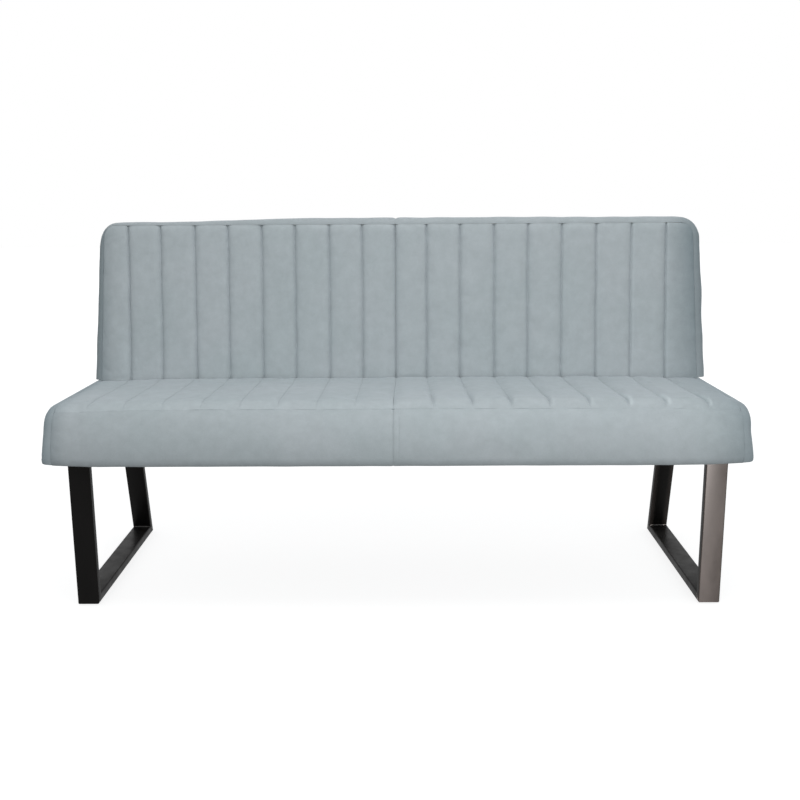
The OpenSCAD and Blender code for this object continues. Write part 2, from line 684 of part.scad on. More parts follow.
// A bolt from the origin along +Z, its head below the origin
module bolt(l) {
    cylinder(h = l, r = bolt_r);
    translate([0, 0, -head_h]) cylinder(h = head_h, r = head_r, $fn = 6);
}
module washer() {
    difference() {
        cylinder(h = washer_t, r = washer_r);
        translate([0, 0, -over]) cylinder(h = washer_t + 2 * over, r = bolt_r + bolt_clear);
    }
}
module nut() {
    difference() {
        cylinder(h = nut_h, r = head_r, $fn = 6);
        translate([0, 0, -over]) cylinder(h = nut_h + 2 * over, r = bolt_r + fit);
    }
}

// Places children at each rib bolt, with +Z running in from under its head
module at_end_bolts() {
    for (side = [-1, 1], y = rib_bolt_ys)
        hand(side) translate([end_bolt_x, y, rib_bolt_z]) rotate([0, -90, 0]) children();
}
module at_inner_bolts() {
    for (side = [-1, 1], y = rib_bolt_ys)
        hand(side) translate([inner_bolt_x, y, rib_bolt_z]) rotate([0, 90, 0]) children();
}
end_grip = end_bolt_x - end_rib_x;
inner_grip = rail_t + fit + ply_t;

module rib_bolts() {
    past = washer_t + nut_h + over;
    color("silver") {
        at_end_bolts() bolt(end_grip + past);
        at_inner_bolts() bolt(inner_grip + past);
    }
}
module rib_washers() {
    color("silver") {
        at_end_bolts() translate([0, 0, end_grip]) washer();
        at_inner_bolts() translate([0, 0, inner_grip]) washer();
    }
}
module rib_nuts() {
    color("silver") {
        at_end_bolts() translate([0, 0, end_grip + washer_t]) nut();
        at_inner_bolts() translate([0, 0, inner_grip + washer_t]) nut();
    }
}

// Outlines of the leg's tubes as [y, z], mitred at the floor
leg_z = glide_t;
lean = atan((heel_y - leg_rear_y) / (plate_z - leg_z));
tube_run = tube_d / cos(lean);
function rear_out(z) = heel_y - (z - leg_z) * tan(lean);
inner_z = leg_z + tube_d;
front_post_outline = [[leg_front_y, leg_z], [leg_front_y + tube_d, inner_z],
    [leg_front_y + tube_d, plate_z], [leg_front_y, plate_z]];
rear_post_outline = [[heel_y, leg_z], [rear_out(plate_z), plate_z],
    [rear_out(plate_z) - tube_run, plate_z], [rear_out(inner_z) - tube_run, inner_z]];
floor_rail_outline = [[leg_front_y, leg_z], [heel_y, leg_z], [rear_out(inner_z) - tube_run, inner_z],
    [leg_front_y + tube_d, inner_z]];

// A length of tube: an outline with the room inside its walls cut out by children
module tube(outline) {
    difference() {
        along_x(leg_x - tube_w / 2, tube_w) polygon(outline);
        along_x(leg_x - tube_w / 2 + tube_wall, tube_w - 2 * tube_wall) children();
    }
}

module leg_front_post(side) {
    color("dimgray") hand(side) tube(front_post_outline)
        translate([leg_front_y + tube_wall, 0]) square([tube_d - 2 * tube_wall, plate_z + over]);
}

module leg_floor_rail(side) {
    color("dimgray") hand(side) tube(floor_rail_outline)
        translate([leg_front_y - over, leg_z + tube_wall])
            square([heel_y - leg_front_y + 2 * over, tube_d - 2 * tube_wall]);
}

module leg_rear_post(side) {
    wall = tube_wall / cos(lean);
    color("dimgray") hand(side) tube(rear_post_outline)
        polygon([[rear_out(0) - wall, 0], [rear_out(plate_z + over) - wall, plate_z + over],
            [rear_out(plate_z + over) - tube_run + wall, plate_z + over], [rear_out(0) - tube_run + wall, 0]]);
}

module leg_top_plate(side) {
    color("dimgray") difference() {
        hand(side) translate([leg_x - tube_w / 2, leg_front_y, plate_z])
            cube([tube_w, leg_rear_y - leg_front_y, plate_t]);
        leg_bolt_holes();
    }
}

// Leg bolts stand between the posts, spread along the top plate
leg_bolt_first = leg_front_y + tube_d + 2 * washer_r;
leg_bolt_last = leg_rear_y - tube_run - 2 * washer_r;
leg_bolt_ys = [for (i = [0 : leg_bolt_n - 1])
    leg_bolt_first + i * (leg_bolt_last - leg_bolt_first) / (leg_bolt_n - 1)];
module at_leg_bolts(z) {
    for (side = [-1, 1], y = leg_bolt_ys) hand(side) translate([leg_x, y, z]) children();
}
module leg_bolt_holes() {
    at_leg_bolts(plate_z - over) cylinder(h = frame_top - plate_z + 2 * over, r = bolt_r + bolt_clear);
}
module tee_nut_holes() {
    at_leg_bolts(frame_top - tee_l) cylinder(h = tee_l + over, r = tee_r + fit);
}
module leg_bolts() {
    color("dimgray") at_leg_bolts(plate_z - washer_t) bolt(frame_top + tee_flange_t - plate_z);
}
module leg_washers() {
    color("dimgray") at_leg_bolts(plate_z - washer_t) washer();
}
module leg_tee_nuts() {
    color("silver") at_leg_bolts(frame_top) difference() {
        union() {
            translate([0, 0, -tee_l]) cylinder(h = tee_l + tee_flange_t, r = tee_r);
            cylinder(h = tee_flange_t, r = washer_r);
        }
        translate([0, 0, -tee_l - over]) cylinder(h = tee_l + tee_flange_t + 2 * over, r = bolt_r + fit);
    }
}

module floor_glides() {
    color("black") for (side = [-1, 1], y = [leg_front_y + glide_inset, heel_y - glide_inset])
        hand(side) translate([leg_x, y, 0]) cylinder(h = glide_t, r = glide_r);
}

seat_ribbed_panel(-1);  // seat_ribbed_panel_left
seat_ribbed_panel(1);  // seat_ribbed_panel_right
nose_panel(-1);  // nose_panel_left
nose_panel(1);  // nose_panel_right
seat_side_panel(-1);  // seat_side_panel_left
seat_side_panel(1);  // seat_side_panel_right
back_ribbed_panel(-1);  // back_ribbed_panel_left
back_ribbed_panel(1);  // back_ribbed_panel_right
back_border(-1);  // back_border_left
back_border(1);  // back_border_right
rear_panel(-1);  // rear_panel_left
rear_panel(1);  // rear_panel_right
dust_cover();
dust_cover_staples();
seat_foam();
seat_felt();
seat_webbing();
back_foam();
back_webbing();
rear_board();
seat_front_rail();
seat_middle_rail();
seat_rear_rail();
seat_end_rail(-1);  // seat_end_rail_left
seat_end_rail(1);  // seat_end_rail_right
seat_cross_rails();
plywood_rib(-1, end_rib_x);  // back_end_rib_left
plywood_rib(1, end_rib_x);  // back_end_rib_right
plywood_rib(-1, inner_rib_x);  // back_inner_rib_left
plywood_rib(1, inner_rib_x);  // back_inner_rib_right
back_top_rail();
back_lower_rails();
frame_screws();
rib_bolts();
rib_washers();
rib_nuts();
leg_front_post(-1);  // leg_front_post_left
leg_front_post(1);  // leg_front_post_right
leg_rear_post(-1);  // leg_rear_post_left
leg_rear_post(1);  // leg_rear_post_right
leg_floor_rail(-1);  // leg_floor_rail_left
leg_floor_rail(1);  // leg_floor_rail_right
leg_top_plate(-1);  // leg_top_plate_left
leg_top_plate(1);  // leg_top_plate_right
leg_bolts();
leg_washers();
leg_tee_nuts();
floor_glides();
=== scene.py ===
# %% [markdown]
# # A ribbed dining bench in Blender
#
# The bench is a timber and foam body in a sewn blue-grey cover, on two frames of black steel tube.
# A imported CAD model, the frame, already holds every size and every hidden piece.
# Here each visible piece gets its true surface and finish. One way would be to sculpt the whole
# body, but a real cover is cut from flat panels and sewn, so each panel is made by itself from the
# curve that its seams follow. That keeps seams where they belong and makes every fold explainable.

# %% Open the frame
import math

import bpy
import numpy as np
from mathutils import Matrix, Vector


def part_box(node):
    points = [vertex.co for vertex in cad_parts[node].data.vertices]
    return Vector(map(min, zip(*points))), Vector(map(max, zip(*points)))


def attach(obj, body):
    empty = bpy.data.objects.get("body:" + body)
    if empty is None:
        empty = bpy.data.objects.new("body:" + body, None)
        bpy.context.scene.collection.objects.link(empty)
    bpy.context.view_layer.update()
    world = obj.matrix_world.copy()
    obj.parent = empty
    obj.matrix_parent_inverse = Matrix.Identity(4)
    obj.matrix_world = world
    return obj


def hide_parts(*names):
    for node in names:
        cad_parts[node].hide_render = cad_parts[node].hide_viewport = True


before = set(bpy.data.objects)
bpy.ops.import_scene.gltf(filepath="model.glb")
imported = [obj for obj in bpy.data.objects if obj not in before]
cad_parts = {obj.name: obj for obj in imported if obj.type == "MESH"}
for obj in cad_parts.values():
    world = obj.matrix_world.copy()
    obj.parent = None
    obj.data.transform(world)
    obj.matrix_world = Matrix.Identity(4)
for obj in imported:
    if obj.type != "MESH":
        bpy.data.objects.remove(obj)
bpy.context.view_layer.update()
scene = bpy.context.scene

# %% [markdown]
# ## The camera
#
# The photograph was taken from a little above the seat, about two metres in front of it.
# A camera could be placed by eye, but matching known corners of the bench to their pixels gives its
# place and its tilt, so the render and the photograph can be compared edge by edge.

# %% Camera
image_px = 800
focal_px = 1000
sensor_mm = 36
camera_at = Vector((0.0253, -2.4096, 0.9681))
pitch = 0.2113
yaw = -0.008
roll = -0.006

ahead = Vector((math.sin(yaw) * math.cos(pitch), math.cos(yaw) * math.cos(pitch), -math.sin(pitch)))
level_right = Vector((math.cos(yaw), -math.sin(yaw), 0))
level_up = level_right.cross(ahead)
right = math.cos(roll) * level_right + math.sin(roll) * level_up
up = math.cos(roll) * level_up - math.sin(roll) * level_right

camera = bpy.data.objects.new("camera", bpy.data.cameras.new("camera"))
scene.collection.objects.link(camera)
camera.data.sensor_width = sensor_mm
camera.data.lens = sensor_mm * focal_px / image_px
camera.matrix_world = Matrix((
    (right.x, up.x, -ahead.x, camera_at.x),
    (right.y, up.y, -ahead.y, camera_at.y),
    (right.z, up.z, -ahead.z, camera_at.z),
    (0, 0, 0, 1),
))
scene.camera = camera
print("camera lens", round(camera.data.lens, 1), "mm")

# %% [markdown]
# ## Sizes
#
# What the frame can tell is read from it. The few sizes that shape a curve, such as the run of the
# nose or the recline of the backrest, are those that the CAD model was drawn with, in millimetres.

# %% Sizes
mm = 0.001
nose_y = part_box("nose_panel_right")[0].y
hem_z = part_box("nose_panel_right")[0].z
end_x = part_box("seat_side_panel_right")[1].x
rear_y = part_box("seat_side_panel_right")[1].y
cover_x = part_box("seat_foam")[1].x
leg_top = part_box("dust_cover")[0].z
front_rail_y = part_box("seat_front_rail")[0].y

seam_gap = 0.3 * mm
seam_x = cover_x + seam_gap / 2
seat_z = leg_top + 112 * mm
back_y = nose_y + 405 * mm
nose_cy = nose_y + 94 * mm
nose_cz = leg_top + 9 * mm
seat_slope = math.radians(1.2)
seat_crown = 10 * mm
nose_seam_deg = 65
recline = math.radians(8)
back_run = 388 * mm / math.cos(recline)
back_taper = 16 * mm
corner_r = 30 * mm
border_bulge = 14 * mm
rib_n = 18
half_ribs = rib_n // 2
rib_w = 2 * seam_x / rib_n
rib_puff = 4.5 * mm
panel_t = 10 * mm
crease_y = back_y - rib_puff - seam_gap
sides = {"left": -1, "right": 1}
print("ribs", rib_n, "each", round(rib_w / mm, 1), "mm wide")

# %% [markdown]
# ## Small tools for cloth
#
# Fabric is never quite even. A few waves in seeded random directions, added up, give smooth bumps
# of a chosen size that come out the same on every run. A soft step and a soft dip do the rest.
# Points are placed close together beside the seams, where the fabric turns, and wider elsewhere.

# %% Soft bumps, steps and dips
full_turn = 2 * math.pi


def bumps(u, v, size, seed, waves=14):
    """Smooth bumps about size metres across, mostly between -1 and 1."""
    draw = np.random.default_rng(seed)
    total = np.zeros(np.broadcast(u, v).shape)
    for _ in range(waves):
        angle = draw.uniform(0, full_turn)
        phase = draw.uniform(0, full_turn)
        pace = draw.uniform(0.6, 1.5)
        total += np.cos(full_turn * pace / size * (u * math.cos(angle) + v * math.sin(angle)) + phase)
    return total / math.sqrt(waves)


def soft_step(value, low, high):
    """0 below low, 1 above high, and a smooth turn between."""
    t = np.clip((value - low) / (high - low), 0, 1)
    return t * t * (3 - 2 * t)


def dip(distance, width):
    """1 on a seam, falling off smoothly over about width metres on both sides."""
    return np.exp(-((distance / width) ** 2))


def gathers(u, v, size, seed, away, reach, start, waves=14):
    """Small folds that begin softly beside a seam and die away with the distance from it."""
    return bumps(u, v, size, seed, waves) * np.exp(-away / reach) * soft_step(away, 0, start)


def spaced(low, high, step, edge=(0.8 * mm, 2 * mm, 4 * mm, 7 * mm)):
    """Stations from low to high about step apart, and closer beside both ends, where seams lie."""
    near = np.array(edge)
    count = max(2, round((high - low - 2 * edge[-1]) / step) - 1)
    inner = np.linspace(low + edge[-1] + step, high - edge[-1] - step, count)
    return np.concatenate([[low], low + near, inner, high - near[::-1], [high]])


print("2 mm beside a seam 4 mm wide the dip is", round(float(dip(2 * mm, 4 * mm)), 2))

# %% [markdown]
# ## From points to closed pieces
#
# A sewn panel is a sheet with some thickness. It could be a single surface with a Solidify
# modifier, but then its edges would be cut square. Here the outer and the inner side are both given
# as grids of points, and the four rims between them are closed, so the edges can turn into the seam.
# A long round thing, such as a stitch, is a row of rings with a face at both ends.

# %% Closed panels
def spot(x, y, z):
    """Points from their places along the bench, in depth and in height."""
    return np.stack(np.broadcast_arrays(x, y, z), -1)


def mesh_piece(name, points, faces, material, sharp_deg=60):
    """An object of the bench from points and faces, smooth except over sharp edges."""
    mesh = bpy.data.meshes.new(name)
    mesh.from_pydata(np.asarray(points).tolist(), [], [list(map(int, f)) for f in faces])
    mesh.shade_smooth()
    mesh.set_sharp_from_angle(angle=math.radians(sharp_deg))
    mesh.materials.append(material)
    piece = bpy.data.objects.new(name, mesh)
    scene.collection.objects.link(piece)
    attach(piece, "root")
    return piece


def grid_faces(index):
    """Quads between neighbouring rows and columns of a grid of point numbers."""
    return np.stack([index[:-1, :-1], index[:-1, 1:], index[1:, 1:], index[1:, :-1]], -1).reshape(-1, 4)


def volume_of(points, faces):
    """Signed volume inside quads: negative when they face inwards."""
    a, b, c, d = (points[faces[:, k]] for k in range(4))
    return (np.einsum("ij,ij", a, np.cross(b, c)) + np.einsum("ij,ij", a, np.cross(c, d))) / 6


def panel(name, outer, inner, material):
    """A closed panel between an outer and an inner grid of the same rows and columns."""
    rows, cols = outer.shape[:2]
    points = np.concatenate([outer.reshape(-1, 3), inner.reshape(-1, 3)])
    front = np.arange(rows * cols).reshape(rows, cols)
    back = front + rows * cols
    rims = [np.stack([front[0], back[0]]), np.stack([back[-1], front[-1]]),
            np.stack([back[:, 0], front[:, 0]]), np.stack([front[:, -1], back[:, -1]])]
    faces = np.concatenate([grid_faces(front), grid_faces(back)[:, ::-1]] + [grid_faces(r) for r in rims])
    if volume_of(points, faces) < 0:
        faces = faces[:, ::-1]
    return mesh_piece(name, points, faces, material)


def handed(grid, side):
    """The grid as it is for the right-hand end, or mirrored for the left-hand end."""
    return grid * np.array([side, 1, 1])


def sewn(name, node, hand, outer, inner, material):
    """A padded panel of the cover at one end, which takes the place of a node of the CAD model."""
    side = sides[hand]
    piece = panel(f"{name}_{hand}", handed(outer, side), handed(inner, side), material)
    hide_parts(f"{node}_{hand}")
    return piece


# %% Bodies of rings
def looped(index):
    """Rows of point numbers, each closed to a loop."""
    return np.concatenate([index, index[:, :1]], axis=1)


def ring_body(rings):
    """Points and faces of a body round a row of rings, with a face at both ends."""
    count, around = rings.shape[:2]
    index = np.arange(count * around).reshape(count, around)
    faces = grid_faces(looped(index)).tolist() + [index[0, ::-1].tolist(), index[-1].tolist()]
    return rings.reshape(-1, 3), faces


def merged(parts):
    """The points and faces of several bodies as those of one mesh."""
    points, faces, count = [], [], 0
    for made, quads in parts:
        points.append(made)
        faces += [[k + count for k in f] for f in quads]
        count += len(made)
    return np.concatenate(points), faces


print("faces round two rings of six points:", len(ring_body(np.zeros((2, 6, 3)))[1]))

# %% [markdown]
# ## Letting the cover settle
#
# A stuffed cover takes its shape from two things: the thread holds it down at the seams, and the
# wadding pushes it out between them. Blender's Cloth does just that. The panel's outer grid becomes
# a sheet that is a little too large, its seams are pinned, pressure stands in for the wadding, and
# twenty frames later it has the small slack folds that no formula gives. A cap on how far a point
# may move keeps the seams deep and the panel clear of its neighbours.

# %% Cloth settling
settle_frames = 20
settle_cap = 0.8 * mm
cloth_slack = 0.003
cloth_values = {
    "vertex_group_mass": "sewn",
    "shrink_min": -cloth_slack,
    "use_pressure": True,
    "uniform_pressure_force": 1.2,
    "quality": 5,
    "mass": 0.15,
    "air_damping": 4,
    "tension_stiffness": 12,
    "compression_stiffness": 12,
    "bending_stiffness": 0.3,
}


def sewn_down(grid, columns, rows):
    """Which points of a grid the thread holds: whole columns are seams, and so are some rows."""
    pinned = np.broadcast_to(np.isclose(columns, np.round(columns)), grid.shape[:2]).copy()
    pinned[rows] = True
    return pinned


def settled(grid, pinned):
    """The grid after its free points have settled as cloth between the pinned ones."""
    rows, cols = grid.shape[:2]
    mesh = bpy.data.meshes.new("cloth")
    faces = grid_faces(np.arange(rows * cols).reshape(rows, cols))
    mesh.from_pydata(grid.reshape(-1, 3).tolist(), [], faces.tolist())
    cloth = bpy.data.objects.new("cloth", mesh)
    scene.collection.objects.link(cloth)
    cloth.vertex_groups.new(name="sewn").add(np.flatnonzero(pinned).tolist(), 1.0, "REPLACE")
    made = cloth.modifiers.new("cloth", "CLOTH")
    for key, value in cloth_values.items():
        setattr(made.settings, key, value)
    made.settings.effector_weights.gravity = 0
    made.collision_settings.use_collision = False
    for number in range(1, settle_frames + 1):
        scene.frame_set(number)
    shown = cloth.evaluated_get(bpy.context.evaluated_depsgraph_get())
    moved = np.zeros(grid.size, np.float32)
    shown.data.vertices.foreach_get("co", moved)
    step = moved.reshape(grid.shape) - grid
    far = np.linalg.norm(step, axis=-1, keepdims=True)
    scene.frame_set(1)
    bpy.data.objects.remove(cloth)
    bpy.data.meshes.remove(mesh)
    print("  settled", rows, "by", cols, "points, moved at most", round(float(far.max()) / mm, 1), "mm")
    return grid + step * np.minimum(1, settle_cap / np.maximum(far, 1e-9))


print("cloth frames", settle_frames, "and a cap of", round(settle_cap / mm, 1), "mm")

# %% [markdown]
# ## Small tools for finishes
#
# A finish in Blender is a tree of nodes. Each node could be placed and wired by hand, but that
# hides the recipe in its wiring. A helper adds a node and fills or links its inputs in one line,
# and a few more give names to what every finish here does: vary a colour with noise, go from one
# value to another, and turn noise into bump.

# %% Node helpers
def adder(tree):
    """A function that adds a node to the tree, sets its values and fills or links its inputs."""
    def add(kind, values=(), **inputs):
        node = tree.nodes.new("ShaderNode" + kind)
        for key, value in dict(values).items():
            setattr(node, key, value)
        for key, value in inputs.items():
            socket = node.inputs[int(key[1:])] if key[1:].isdigit() else node.inputs[key]
            if isinstance(value, bpy.types.NodeSocket):
                tree.links.new(value, socket)
            else:
                socket.default_value = value
        return node

    return add


def finish(name, roughness, metallic=0.0, **sockets):
    """A new material with these values on its Principled shader, and its own function add."""
    material = bpy.data.materials.new(name)
    material.use_nodes = True
    shader = material.node_tree.nodes["Principled BSDF"]
    for socket, value in {"Roughness": roughness, "Metallic": metallic, **sockets}.items():
        shader.inputs[socket.replace("_", " ")].default_value = value
    return material, adder(material.node_tree)


def dressed(material, colour, roughness=None, normal=None):
    """The material, with what was worked out linked to its shader."""
    tree = material.node_tree
    shader = tree.nodes["Principled BSDF"]
    for socket, value in (("Base Color", colour), ("Roughness", roughness), ("Normal", normal)):
        if value is not None:
            tree.links.new(value, shader.inputs[socket])
    return material


# %% Numbers and colours in nodes
def place(add, stretch=(1, 1, 1)):
    """Where a point lies on the bench, in metres, stretched along each axis."""
    at = add("TexCoord").outputs["Object"]
    return add("Mapping", Vector=at, Scale=stretch).outputs["Vector"]


def noise(add, where, size, detail=2.0, rough=0.5):
    """Noise with features about size metres across."""
    return add("TexNoise", Vector=where, Scale=1 / size, Detail=detail, Roughness=rough).outputs["Fac"]


def between(add, fac, low, high, start=0.3, end=0.7):
    """A number that goes from low to high as fac goes from start to end."""
    names = {"Value": fac, "From Min": start, "From Max": end, "To Min": low, "To Max": high}
    return add("MapRange", **names).outputs["Result"]


def maths(add, operation, first, second=0.0):
    """A sum, product or the like of one or two numbers."""
    return add("Math", {"operation": operation}, i0=first, i1=second).outputs[0]


def blend_colour(add, fac, first, second, kind="MIX"):
    """Two colours mixed by fac."""
    return add("Mix", {"data_type": "RGBA", "blend_type": kind}, i0=fac, i6=first, i7=second).outputs[2]


def two_tones(add, fac, dark, pale):
    """From a dark to a pale tone as fac goes over the middle of its range."""
    return blend_colour(add, between(add, fac, 0, 1), (*dark, 1), (*pale, 1))


def bands(add, where, direction, scale, distortion, **more):
    """Bands of light and dark across one direction: layers, ribs, or the twist of thread."""
    values = {"Vector": where, "Scale": scale, "Distortion": distortion, **more}
    return add("TexWave", {"bands_direction": direction}, **values).outputs["Fac"]


def cells(add, where, size):
    """Round cells about size metres apart, such as those of foam or felt."""
    return add("TexVoronoi", Vector=where, Scale=1 / size).outputs["Distance"]


def times(add, colour, gain):
    """The colour multiplied by a gain."""
    return blend_colour(add, 1.0, colour, gain, "MULTIPLY")


def shaded(add, colour, fac, low, high):
    """The colour times a grey that goes from low to high with fac."""
    return times(add, colour, blend_colour(add, fac, (low, low, low, 1), (high, high, high, 1)))


def bump(add, height, distance, strength=1.0, below=None):
    """Bump of a given height in metres, on top of an earlier one."""
    inputs = {"Height": height, "Distance": distance, "Strength": strength}
    if below is not None:
        inputs["Normal"] = below
    return add("Bump", **inputs).outputs["Normal"]


# %% [markdown]
# ## The cover's fabric
#
# It is a short-pile, velvet-like weave: matt, with a faint pale sheen on edges that turn away, and
# with soft patches where the pile leans another way. A photograph of cloth would fix light and
# folds into it, so the finish is built from noise at three sizes: patches a hand long, finger
# marks, and the pile itself, which is mostly bump.
#
# Towards both ends a painted shade makes the colour darker and bluer. It is
# mixed in by the place along the bench, and it grows with the height: over the seat at the left
# end, and all the way up the backrest at the right end. The nose gets a painted shade of its own,
# so it looks a little darker than the seat, most of all on its left half. So does the
# backrest's border, whose painted end shade is weaker. Beside the seams of the right half, where the
# cloth stands up in a lip, a painted highlight makes it paler. How strong it is at each point is
# stored on the mesh, and the finish reads it.

# %% Painted end shade of the fabric
# Painted shade: the cover's colour gets darker and bluer towards both ends of the bench.
painted_end_shade = (0.29, 0.375, 0.41, 1)
painted_end_power = 1.6
end_face_shade_share = 0.25
end_shade_low_z = seat_z - 45 * mm
end_shade_heights = {"left": (0.8, 1, end_shade_low_z, seat_z + 35 * mm),
               "right": (0.75, 1.2, end_shade_low_z, seat_z + 335 * mm)}
plain_end_shade = {"left": (1, 0, -end_x - 10 * mm, -end_x + 60 * mm),
             "right": (0, 1, end_x - 130 * mm, end_x + 25 * mm)}
border_end_shade = {"left": (0.6, 0, -end_x + 35 * mm, -end_x + 53 * mm),
              "right": (0, 0.76, end_x - 130 * mm, end_x + 25 * mm)}


def painted_end_share(add, where, end_shade):
    """How far the painted end shade is mixed in: less on the faces that close the ends."""
    split = add("SeparateXYZ", Vector=where)
    shares = []
    for hand in sides:
        outwards = between(add, split.outputs["X"], *end_shade[hand])
        upwards = between(add, split.outputs["Z"], *end_shade_heights[hand])
        shares.append(maths(add, "MULTIPLY", outwards, upwards))
    share = maths(add, "POWER", maths(add, "MAXIMUM", *shares), painted_end_power)
    normal = add("SeparateXYZ", Vector=add("NewGeometry").outputs["Normal"])
    sideways = maths(add, "ABSOLUTE", normal.outputs["X"])
    return maths(add, "MULTIPLY", share, between(add, sideways, 1, end_face_shade_share, 0.8, 0.97))


# %% Cover fabric
cloth_dark = (0.379, 0.425, 0.441, 1)
cloth_pale = (0.404, 0.443, 0.462, 1)
patch_size = 160 * mm
mark_size = 22 * mm
pile_size = 1.1 * mm
# Painted highlight: colour gain on the lips beside the seams.
lip_highlight_gain = (1.3, 1.3, 1.29, 1)
# Painted shade: a ramp along the bench dims the colour, darkest at the left end; the nose and the border get
# darker ramps.
painted_shade_from_x = -end_x - 5 * mm
painted_shade_to_x = 200 * mm
seat_painted_shade = (1.0, 1.0)
nose_painted_shade = (0.9, 0.995)
border_painted_shade = (0.82, 0.9)


def cover_fabric(name, painted_shade, end_shade):
    """Short-pile cloth with painted shade: the second argument is the share of its colour at the left end and
    right of the middle, the third where the darker, bluer painted end shade lies.
    """
    material, add = finish(name, 0.85, Sheen_Weight=0.25, Sheen_Roughness=0.35,
                           Sheen_Tint=(0.86, 0.93, 1.0, 1.0), Specular_IOR_Level=0.2)
    where = place(add)
    patch = between(add, noise(add, where, patch_size, 3.0), 0, 1)
    marks = between(add, noise(add, where, mark_size, 3.0, 0.6), 0, 1, 0.25, 0.75)
    pile = noise(add, where, pile_size, 2.0, 0.65)
    colour = blend_colour(add, patch, cloth_dark, cloth_pale)
    colour = shaded(add, colour, marks, 0.93, 1.05)
    colour = shaded(add, colour, between(add, pile, 0, 1), 0.93, 1.06)
    # Painted shade towards both ends.
    colour = blend_colour(add, painted_end_share(add, where, end_shade), colour, times(add, colour, painted_end_shade))
    across = add("SeparateXYZ", Vector=where).outputs["X"]
    # Painted shade along the bench.
    colour = times(add, colour, between(add, across, *painted_shade, painted_shade_from_x, painted_shade_to_x))
    # Painted highlight on the lips, read from the mesh.
    rubbed = add("Attribute", {"attribute_name": "rubbed"}).outputs["Fac"]
    colour = blend_colour(add, rubbed, colour, times(add, colour, lip_highlight_gain))
    fine = bump(add, pile, 0.2 * mm, 0.55, bump(add, marks, 0.25 * mm, 0.6))
    return dressed(material, colour, between(add, marks, 0.78, 0.92, 0, 1), fine)


fabric = cover_fabric("cover_fabric", seat_painted_shade, plain_end_shade)
# Shaded copies of the same fabric for the nose and the border.
shaded_nose_fabric = cover_fabric("shaded_nose_fabric", nose_painted_shade, plain_end_shade)
shaded_border_fabric = cover_fabric("shaded_border_fabric", border_painted_shade, border_end_shade)
print("fabrics", fabric.name, shaded_nose_fabric.name, shaded_border_fabric.name)

# %% Thread
def sewing_thread():
    """Twisted thread in the colour of the cloth."""
    material, add = finish("sewing_thread", 0.6, Sheen_Weight=0.1)
    strands = bands(add, place(add), "DIAGONAL", 900, 0.5)
    colour = blend_colour(add, strands, (0.34, 0.38, 0.40, 1), (0.43, 0.47, 0.49, 1))
    return dressed(material, colour, normal=bump(add, strands, 0.1 * mm))


thread = sewing_thread()
print("thread", thread.name)

# %% [markdown]
# ## The shape under the seat cover
#
# Seen from the side, the seat runs flat and slightly down to the rear, and its nose is a quarter of
# an ellipse that ends in a short upright foot. The whole top is crowned: it falls about a
# centimetre towards the two ends. A point of the seat is named by its place along the bench and by
# its way q from the cross seam: first round the nose, then back along the flat.

# %% Seat shape
nose_run = nose_cy - nose_y
nose_rise = seat_z - math.tan(seat_slope) * nose_cy - nose_cz
nose_arc = nose_run * math.radians(90 - nose_seam_deg)
seat_way = nose_arc + crease_y - nose_cy
crown_power = 9
nose_crown_share = 0.8


def edge_z(y):
    """Height of the seat's side seam at a depth y."""
    return seat_z - math.tan(seat_slope) * y


def crown(x):
    """Share of the crown at a place along the bench."""
    return 1 - np.minimum(1, np.abs(x) / seam_x) ** crown_power


def nose_point(x, deg, lift=0.0, swell=1.0):
    """Point on the nose at an angle above the horizontal, lifted out by lift."""
    rise = swell * seat_crown * crown(x)
    angle = np.radians(deg)
    run = nose_run - nose_crown_share * (seat_crown - rise) + lift
    return spot(x, nose_cy - run * np.cos(angle), nose_cz + (nose_rise + rise + lift) * np.sin(angle))


def nose_deg(q):
    """Angle on the nose at a way q from the cross seam."""
    return nose_seam_deg + (90 - nose_seam_deg) * np.clip(q / nose_arc, 0, 1)


def seat_point(x, q, lift=0.0, swell=1.0):
    """Point of the seat's top at a place x and a way q from the cross seam."""
    on_nose = nose_point(x, nose_deg(q), lift, swell)
    y = nose_cy + np.maximum(0, q - nose_arc)
    flat = spot(x, y, edge_z(y) + swell * seat_crown * crown(x) + lift)
    return np.where((q < nose_arc)[..., None], on_nose, flat)


print("way over the seat", round(seat_way / mm), "mm, of which", round(nose_arc / mm), "on the nose")

# %% [markdown]
# ## Ribs
#
# Eighteen ribs run over the seat and up the backrest. Each is a strip of wadding between two lines
# of stitches: nearly flat in its middle, falling steeply beside the thread. On a sewn cover the
# lines are never ruler-straight. Each seam lies some millimetres beside its even spacing, as
# measured between the seams of the photograph, and waves a little. The fabric beside it puckers.
# A column counts the ribs from the middle join: column 2.5 is the middle of the third rib.

# %% Rib columns and profile
rib_shares = np.concatenate([[0, 0.011, 0.028, 0.055], np.linspace(0.1, 0.9, 15), [0.945, 0.972, 0.989]])
rib_columns = np.concatenate([k + rib_shares for k in range(half_ribs)] + [[half_ribs]])
rib_power = 5.5
end_power = 2.2


def rib_profile(columns):
    """Height across a rib, as a share of its puff: round beside a seam, rounder beside the end."""
    last = np.isclose(columns, half_ribs)
    t = np.where(last, 1, columns - np.floor(columns))
    at_end = (columns > half_ribs - 0.5) | last
    return 1 - np.abs(2 * t - 1) ** np.where(at_end, end_power, rib_power)


def seam_distance(columns):
    """Distance to the nearest channel seam, in metres, where the end seam doesn't count."""
    return np.abs(columns - np.minimum(np.round(columns), half_ribs - 1)) * rib_w


def beside_seam(columns):
    """Way outwards from the nearest seam, in metres."""
    return (columns - np.round(columns)) * rib_w


def is_inner(columns):
    """True beside the channel seams, and not beside the middle join or the end seam."""
    return (columns > 0.5) & (columns < half_ribs - 0.5)


print("columns over half the bench", len(rib_columns))

